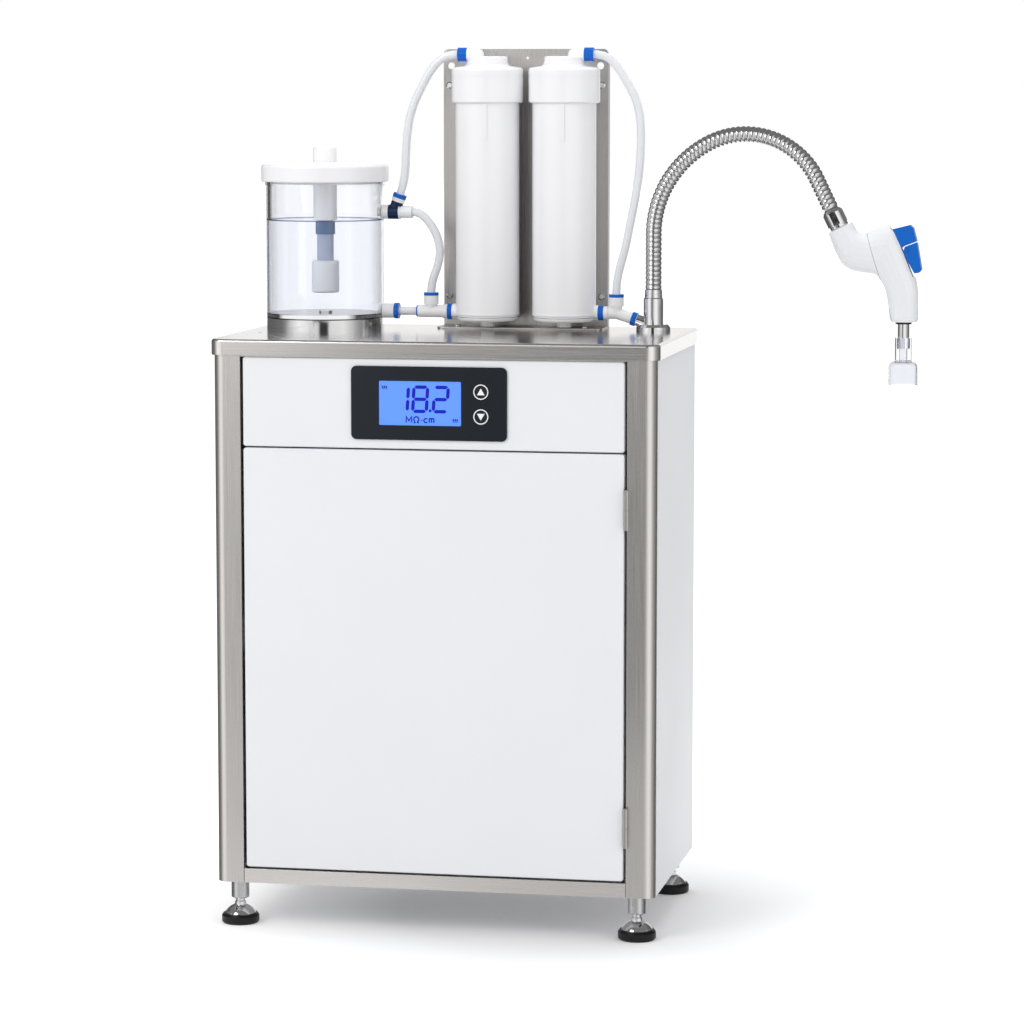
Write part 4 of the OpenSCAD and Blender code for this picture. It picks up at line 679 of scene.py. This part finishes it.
def display_reading():
    """The digits and the small icons in the window's corners."""
    digits = [shape for left, lit in DIGITS for shape in digit_outlines(left, lit)]
    show_on_lcd("reading_digits", digits + [round_dot(*DECIMAL_POINT, DECIMAL_POINT_RADIUS)], SEGMENTS)
    show_on_lcd("corner_icons", [shape for icon in DARK_ICONS for shape in bar_icon(*icon)], UNITS)
    show_on_lcd("ghost_icons", [shape for icon in GHOST_ICONS for shape in bar_icon(*icon)], GHOSTS)


UNIT_LEFT = 30.4 * MM
UNIT_BASE = 3.2 * MM
UNIT_TALL = 6.6 * MM
UNIT_SMALL = 4.8 * MM
UNIT_STROKE = 1.45 * MM
# The least share of its width that a stroke's sharp corner is drawn with
MITRE_LIMIT = 0.45
# Where the letters stand, from the unit's left end
M_MIDDLE = 3 * MM
M_WIDTH = 6 * MM
OMEGA_MIDDLE = 11.2 * MM
OMEGA_RIGHT_FOOT = [(14.2 * MM, 0), (12.7 * MM, 0)]
OMEGA_LEFT_FOOT = [(9.7 * MM, 0), (8.2 * MM, 0)]
RAISED_DOT = 17.2 * MM
RAISED_DOT_RADIUS = 0.8 * MM
C_MIDDLE = 21.9 * MM
SMALL_M_LEFT = 25.6 * MM
# The two arches of the small m: their middles and their radius
ARCHES = [26.9 * MM, (26.9 + 2.6) * MM]
ARCH_RADIUS = 1.3 * MM


def stroke(points, width):
    """An outline that follows a line of points at half the width on either side."""
    left, right = [], []
    last = len(points) - 1
    for i, point in enumerate(points):
        before = (points[max(i, 1)] - points[max(i, 1) - 1]).normalized()
        after = (points[min(i, last - 1) + 1] - points[min(i, last - 1)]).normalized()
        along = (before + after).normalized()
        out = Vector((-along.y, along.x)) * (width / 2 / max(MITRE_LIMIT, along.dot(before)))
        left.append(point + out)
        right.append(point - out)
    return left + right[::-1]


def bow(centre, radius, start, end, steps):
    """Points round an arc, from one angle to another in degrees."""
    turns = [math.radians(start + (end - start) * k / steps) for k in range(steps + 1)]
    return [Vector(centre) + Vector((radius * math.cos(t), radius * math.sin(t))) for t in turns]


def line_through(points):
    return [Vector(point) for point in points]


def unit_strokes():
    """The reading's unit, megohm centimetre, in plain strokes from the baseline's left end."""
    tall, small = UNIT_TALL, UNIT_SMALL
    half = small / 2
    big_m = [(0, 0), (0, tall), (M_MIDDLE, 0.3 * tall), (M_WIDTH, tall), (M_WIDTH, 0)]
    arc = bow((OMEGA_MIDDLE, 0.56 * tall), 0.42 * tall, -56, 236, 16)
    omega = line_through(OMEGA_RIGHT_FOOT) + arc + line_through(OMEGA_LEFT_FOOT)
    letter_c = bow((C_MIDDLE, half), half - 0.2 * MM, 45, 315, 12)
    stem = [(SMALL_M_LEFT, 0), (SMALL_M_LEFT, small)]
    strokes = [line_through(big_m), omega, letter_c, line_through(stem)]
    for arch_middle in ARCHES:
        arch = bow((arch_middle, small - ARCH_RADIUS), ARCH_RADIUS, 160, 0, 8)
        strokes.append(arch + [Vector((arch[-1].x, 0))])
    return strokes


def unit_text():
    """The unit under the reading."""
    outlines = [stroke(points, UNIT_STROKE) for points in unit_strokes()]
    outlines.append(round_dot(RAISED_DOT, UNIT_SMALL / 2, RAISED_DOT_RADIUS))
    placed = [[(UNIT_LEFT + p[0], UNIT_BASE + p[1]) for p in outline] for outline in outlines]
    show_on_lcd("unit_text", placed, UNITS)


KEY_RING_OUTER = 8.3 * MM
KEY_RING_INNER = 7.2 * MM
KEY_RING_SIDES = 48
# Half the arrow's width, and how far its foot and its tip lie from the key's middle
KEY_ARROW = 4.3 * MM
KEY_ARROW_FOOT = 3.4 * MM
KEY_ARROW_TIP = 3.9 * MM


def key_marks(node, body, way):
    """The printed ring and arrow on a key. The arrow points up for a way of 1, down for -1."""
    low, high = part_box(node)
    origin = Vector(((low.x + high.x) / 2, low.y, (low.z + high.z) / 2))
    build = bmesh.new()
    turns = turns_of(KEY_RING_SIDES)
    for a, b in zip(turns, turns[1:] + turns[:1]):
        corners = [
            (KEY_RING_INNER, a), (KEY_RING_OUTER, a), (KEY_RING_OUTER, b), (KEY_RING_INNER, b)
        ]
        printed_shape(build, [(r * math.cos(t), r * math.sin(t)) for r, t in corners], origin)
    foot, tip = -way * KEY_ARROW_FOOT, way * KEY_ARROW_TIP
    printed_shape(build, [(-KEY_ARROW, foot), (KEY_ARROW, foot), (0, tip)], origin)
    # The ring's blocks become one, without the walls between them
    bmesh.ops.remove_doubles(build, verts=build.verts, dist=MERGE_DISTANCE)
    inside = [f for f in build.faces if all(len(e.link_faces) > 2 for e in f.edges)]
    bmesh.ops.delete(build, geom=inside, context="FACES_ONLY")
    name = node + "_mark"
    piece(name, mesh_from(build, name), body, PRINT)


# ---- Tank ---------------------------------------------------------------------------

VESSEL_LOW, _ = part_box("tank_vessel")
LID_MIDDLE = middle("tank_lid")
TANK_AXIS = Vector((LID_MIDDLE.x, LID_MIDDLE.y, 0))
TANK_INNER = 65 * MM
TANK_FLOOR = VESSEL_LOW.z + 5 * MM
TANK_STEPS = 96
WATER_LEVEL = 779.7 * MM
# How far the water reaches into the wall, so that no air shows between them
WATER_LAP = 0.1 * MM


def tank_water():
    """The water, and the line that its edge draws on the wall."""
    rim, floor = TANK_INNER + WATER_LAP, TANK_FLOOR - WATER_LAP
    # Points close to each corner keep the smooth shading from bending the walls.
    profile = [
        (0, floor), (rim - 0.5 * MM, floor), (rim, floor), (rim, TANK_FLOOR + 0.4 * MM),
        (rim, WATER_LEVEL + 0.8 * MM), (rim, WATER_LEVEL + 1.2 * MM),
        (rim - 1.2 * MM, WATER_LEVEL + 0.3 * MM), (rim - 3 * MM, WATER_LEVEL),
        (rim - 5 * MM, WATER_LEVEL), (0, WATER_LEVEL),
    ]
    mesh = revolved("tank_water", profile, TANK_AXIS, TANK_STEPS)
    piece("tank_water", mesh, "cabinet", WATER)
    wall = TANK_INNER - 0.05 * MM
    ring = [
        (TANK_INNER - 0.9 * MM, WATER_LEVEL - 0.2 * MM), (wall, WATER_LEVEL - 0.4 * MM),
        (wall, WATER_LEVEL + 0.9 * MM), (TANK_INNER - 0.4 * MM, WATER_LEVEL + 0.6 * MM),
    ]
    mesh = revolved("water_line", ring, TANK_AXIS, TANK_STEPS, closed=True)
    piece("water_line", mesh, "cabinet", MENISCUS)


# ---- World ----------------------------------------------------------------------------

# The light that falls on the object, from below the horizon to straight up. Heights in
# this section are those of a direction, from -1, down, to 1, up.
WORLD_LIGHT = 0.72
WORLD_LOW = -0.2
WORLD_HIGH = 1.0
WORLD_LIGHT_LOW = WORLD_LIGHT * 0.85
WORLD_LIGHT_HIGH = WORLD_LIGHT * 1.15
# The ceiling that metal and clear pieces show: white up to one height, dark from another
CEILING_LOW = 0.2
CEILING_HIGH = 0.55
CEILING_LIGHT = 1.0
CEILING_DARK = 0.22


def white_when_seen(tree):
    """An output that is 1 for rays from the camera, through clear pieces and off metal."""
    path = tree.nodes.new("ShaderNodeLightPath")
    value = path.outputs["Is Camera Ray"]
    for kind in ("Is Transmission Ray", "Is Glossy Ray"):
        value = maths(tree, "MAXIMUM", value, path.outputs[kind])
    return value


def studio_world():
    """A white studio, a little paler overhead, with a darker ceiling for metal to mirror."""
    world = bpy.data.worlds.new("studio")
    bpy.context.scene.world = world
    world.use_nodes = True
    tree = world.node_tree
    background = tree.nodes["Background"]
    place = tree.nodes.new("ShaderNodeTexCoord")
    split = tree.nodes.new("ShaderNodeSeparateXYZ")
    tree.links.new(place.outputs["Generated"], split.inputs["Vector"])
    up = split.outputs["Z"]
    lit = map_range(tree, up, WORLD_LOW, WORLD_HIGH, WORLD_LIGHT_LOW, WORLD_LIGHT_HIGH)
    seen = map_range(tree, up, CEILING_LOW, CEILING_HIGH, CEILING_LIGHT, CEILING_DARK)
    mix = tree.nodes.new("ShaderNodeMix")
    mix.data_type = "FLOAT"
    tree.links.new(white_when_seen(tree), mix.inputs["Factor"])
    tree.links.new(lit, mix.inputs["A"])
    tree.links.new(seen, mix.inputs["B"])
    tree.links.new(mix.outputs["Result"], background.inputs["Strength"])
    background.inputs["Color"].default_value = WHITE


# ---- Cards that give metal its contrast -------------------------------------------------

# The low card round the front and sides rises from the floor in rings: how far out, how
# high, and which of a direction's shades the ring takes
CARD_RINGS = [
    (6.2, 4.6, 5), (6.0, 1.9, 5), (2.5, 0.652, 5), (2.2, 0.545, 4), (2.04, 0.488, 4),
    (1.95, 0.456, 3), (1.5, 0.296, 2), (1.0, 0.118, 2), (0.62, 0.063, 1), (0.4, 0.039, 1),
    (0.25, 0.022, 0), (0.07, 0.002, 0),
]
CARD_LEFT = (-0.365, -0.145)
CARD_RIGHT = (0.12, -0.145)
CARD_FRONT = -0.153
REAR_CARD_REACH = 6.2
REAR_CARD_HEIGHTS = (0.02, 3.4)


def even(shade):
    """One shade for all six of a direction's."""
    return (shade,) * 6


# Where each direction starts, its turn from straight ahead, and its shades from near to far
CARD_SPOKES = [
    (CARD_LEFT, -165, even(1.0)),
    (CARD_LEFT, -160, even(0.12)),
    (CARD_LEFT, -120, even(0.15)),
    (CARD_LEFT, -85, even(0.2)),
    (CARD_LEFT, -75, even(0.35)),
    (CARD_LEFT, -62, even(0.8)),
    (CARD_LEFT, -43, (1.1, 1.1, 1.2, 1.2, 1.2, 1.2)),
    (CARD_LEFT, -25, (0.95, 0.95, 0.9, 0.9, 1.1, 1.1)),
    (CARD_LEFT, -15.3, (0.73, 0.60, 0.50, 0.50, 0.95, 0.95)),
    ((-0.322, CARD_FRONT), -14.9, (0.76, 0.60, 0.48, 0.48, 1.05, 1.0)),
    ((-0.252, CARD_FRONT), -14.0, (0.78, 0.60, 0.45, 0.44, 0.55, 1.0)),
    ((-0.159, CARD_FRONT), -12.8, (0.73, 0.60, 0.38, 0.36, 0.28, 1.0)),
    ((-0.065, CARD_FRONT), -11.6, (0.62, 0.57, 0.32, 0.32, 0.25, 1.0)),
    ((0.028, CARD_FRONT), -10.4, (0.56, 0.55, 0.27, 0.28, 0.21, 1.0)),
    ((0.098, CARD_FRONT), -9.5, (0.56, 0.54, 0.24, 0.27, 0.15, 1.0)),
    (CARD_RIGHT, -8.5, (0.56, 0.54, 0.24, 0.27, 0.15, 1.0)),
    (CARD_RIGHT, -4, (0.60, 0.58, 0.30, 0.32, 0.3, 0.03)),
    (CARD_RIGHT, 5, (0.65, 0.65, 0.42, 0.42, 0.6, 0.03)),
    (CARD_RIGHT, 11, (0.75, 0.75, 0.60, 0.60, 0.8, 0.03)),
    (CARD_RIGHT, 16, (0.85, 0.85, 0.80, 0.80, 1.0, 1.1)),
    (CARD_RIGHT, 25, (1.0, 1.0, 1.0, 1.0, 1.1, 1.1)),
    (CARD_RIGHT, 48, (1.1, 1.1, 1.2, 1.2, 1.2, 1.2)),
    (CARD_RIGHT, 66, even(0.85)),
    (CARD_RIGHT, 84, even(0.45)),
    (CARD_RIGHT, 105, even(0.3)),
    (CARD_RIGHT, 127, even(0.15)),
    (CARD_RIGHT, 160, even(0.12)),
    (CARD_RIGHT, 166, even(1.0)),
]
# Turns from straight back in degrees, each with its shade
LEFT_REAR_CARD = [(-84, 1.0), (-74, 0.05), (-60, 0.05), (-46, 0.08), (-36, 0.05), (-29, 1.0)]
RIGHT_REAR_CARD = [(15, 1.0), (22, 0.05), (36, 0.08), (50, 0.05), (62, 0.05), (72, 1.0)]


def card_material(name):
    """A material that glows by the mesh's own shades and is see-through from behind."""
    material = surface(name + "_card", BLACK, 1.0, Specular_IOR_Level=0.0)
    tree = material.node_tree
    shader = principled(material)
    shader.inputs["Emission Color"].default_value = WHITE
    read = tree.nodes.new("ShaderNodeAttribute")
    read.attribute_name = "shade"
    tree.links.new(read.outputs["Fac"], shader.inputs["Emission Strength"])
    side = tree.nodes.new("ShaderNodeNewGeometry")
    nothing = tree.nodes.new("ShaderNodeBsdfTransparent")
    end_in_mix(tree, side.outputs["Backfacing"], shader.outputs["BSDF"], nothing.outputs["BSDF"])
    return material


def dark_flag(name, rows, through):
    """A dark card that only metal, gloss and, if through is set, clear pieces show.

    Each row runs across the card as pairs of a point and a shade, from 0, dark, to 1, white.
    It is seen from its front alone.
    """
    mesh = bpy.data.meshes.new(name)
    width = len(rows[0])
    points = [point for row in rows for point, shade in row]
    corners = [r * width + c for r in range(len(rows) - 1) for c in range(width - 1)]
    mesh.from_pydata(points, [], [(a, a + 1, a + 1 + width, a + width) for a in corners])
    shades = mesh.attributes.new("shade", "FLOAT", "POINT")
    shades.data.foreach_set("value", [shade for row in rows for point, shade in row])
    mesh.materials.append(card_material(name))
    card = add_object(name, mesh)
    card.visible_camera = False
    card.visible_diffuse = False
    card.visible_shadow = False
    card.visible_transmission = through


def low_card():
    """The card that rises all round the front and sides."""
    rows = []
    for out, height, ring in CARD_RINGS:
        row = []
        for (x, y), turn, shades in CARD_SPOKES:
            a = math.radians(turn)
            row.append(((x + out * math.sin(a), y - out * math.cos(a), height), shades[ring]))
        rows.append(row)
    dark_flag("low_flag", rows, False)


def rear_card(name, turns):
    """An upright card behind."""
    rows = []
    for height in REAR_CARD_HEIGHTS:
        row = []
        for turn, shade in turns:
            a = math.radians(turn)
            x, y = REAR_CARD_REACH * math.sin(a), REAR_CARD_REACH * math.cos(a)
            row.append(((x, y, height), shade))
        rows.append(row)
    dark_flag(name, rows, True)


def studio_flags():
    low_card()
    rear_card("left_flag", LEFT_REAR_CARD)
    rear_card("right_flag", RIGHT_REAR_CARD)


# ---- Lamps, floor and camera ------------------------------------------------------------

# Each lamp's place and the point it faces, its width and height, its power in watts, and
# whether gloss mirrors it
LAMPS = {
    "key_light": ((-1.7, -2.4, 2.3), (0, 0, 0.6), (1.4, 1.8), 30, True),
    "fill_light": ((2.6, -1.5, 1.2), (0, 0, 0.6), (0.9, 1.9), 7, False),
    "top_light": ((0.2, 0.4, 2.8), (0.1, 0.1, 0.9), (1.6, 1.2), 16, False),
}
# Half the floor's width, in metres
FLOOR_REACH = 30.0
# How much white the floor glows with where it is seen, near the object and far off,
# and how far out these are. The weaker glow near the object paints a shade round it.
FLOOR_GLOW_IN_PAINTED_SHADE = 0.08
FLOOR_LIFT_FAR = 0.5
PAINTED_SHADE_REACH = 0.2
LIFT_FAR = 0.6
# The camera's place in millimetres from the cabinet's corner, and its angles and lens
CAMERA_PLACE = (1111.2, -3999.3, 935.3)
CAMERA_YAW = 10.97
CAMERA_PITCH = 6.49
CAMERA_LENS = 132.54
CAMERA_SENSOR = 36


def softbox(name, place, target, size, power, mirrored):
    light = bpy.data.lights.new(name, "AREA")
    light.shape = "RECTANGLE"
    light.size, light.size_y = size
    light.energy = power
    made = add_object(name, light)
    made.location = place
    made.rotation_euler = (Vector(target) - Vector(place)).to_track_quat("-Z", "Y").to_euler()
    made.visible_glossy = mirrored


def studio_lights():
    for name, settings in LAMPS.items():
        softbox(name, *settings)


def floor_material():
    """Pale paper that shows white away from the object, with less glow near it: a painted shade round
    the object on top of its cast shadow.
    """
    material = surface("floor_paper", FLOOR_WHITE, 0.6, Specular_IOR_Level=0.0)
    tree = material.node_tree
    shader = principled(material)
    shader.inputs["Emission Color"].default_value = WHITE
    place = tree.nodes.new("ShaderNodeTexCoord")
    reach = tree.nodes.new("ShaderNodeVectorMath")
    reach.operation = "LENGTH"
    tree.links.new(place.outputs["Object"], reach.inputs[0])
    out = reach.outputs["Value"]
    # Less glow near the object: a painted shade on the floor round it
    own = map_range(tree, out, PAINTED_SHADE_REACH, LIFT_FAR, FLOOR_GLOW_IN_PAINTED_SHADE, FLOOR_LIFT_FAR)
    lift = maths(tree, "MULTIPLY", white_when_seen(tree), own)
    tree.links.new(lift, shader.inputs["Emission Strength"])
    return material


def studio_floor():
    mesh = bpy.data.meshes.new("floor")
    corners = rectangle(-FLOOR_REACH, -FLOOR_REACH, FLOOR_REACH, FLOOR_REACH)
    mesh.from_pydata([(x, y, 0) for x, y in corners], [], [(0, 1, 2, 3)])
    mesh.materials.append(floor_material())
    floor = add_object("floor", mesh)


def photo_camera():
    data = bpy.data.cameras.new("camera")
    data.sensor_width = CAMERA_SENSOR
    data.lens = CAMERA_LENS
    camera = add_object("camera", data)
    camera.location = at_cabinet(*CAMERA_PLACE)
    camera.rotation_euler = (math.radians(90 - CAMERA_PITCH), 0, math.radians(CAMERA_YAW))
    bpy.context.scene.camera = camera


def main():
    bpy.context.scene.view_settings.view_transform = "Standard"
    photo_camera()
    studio_world()
    studio_lights()
    studio_flags()
    studio_floor()
    dress_nodes()
    gooseneck_hose()
    display_reading()
    unit_text()
    key_marks("up_button", "up_key", 1)
    key_marks("down_button", "down_key", -1)
    tank_water()


main()
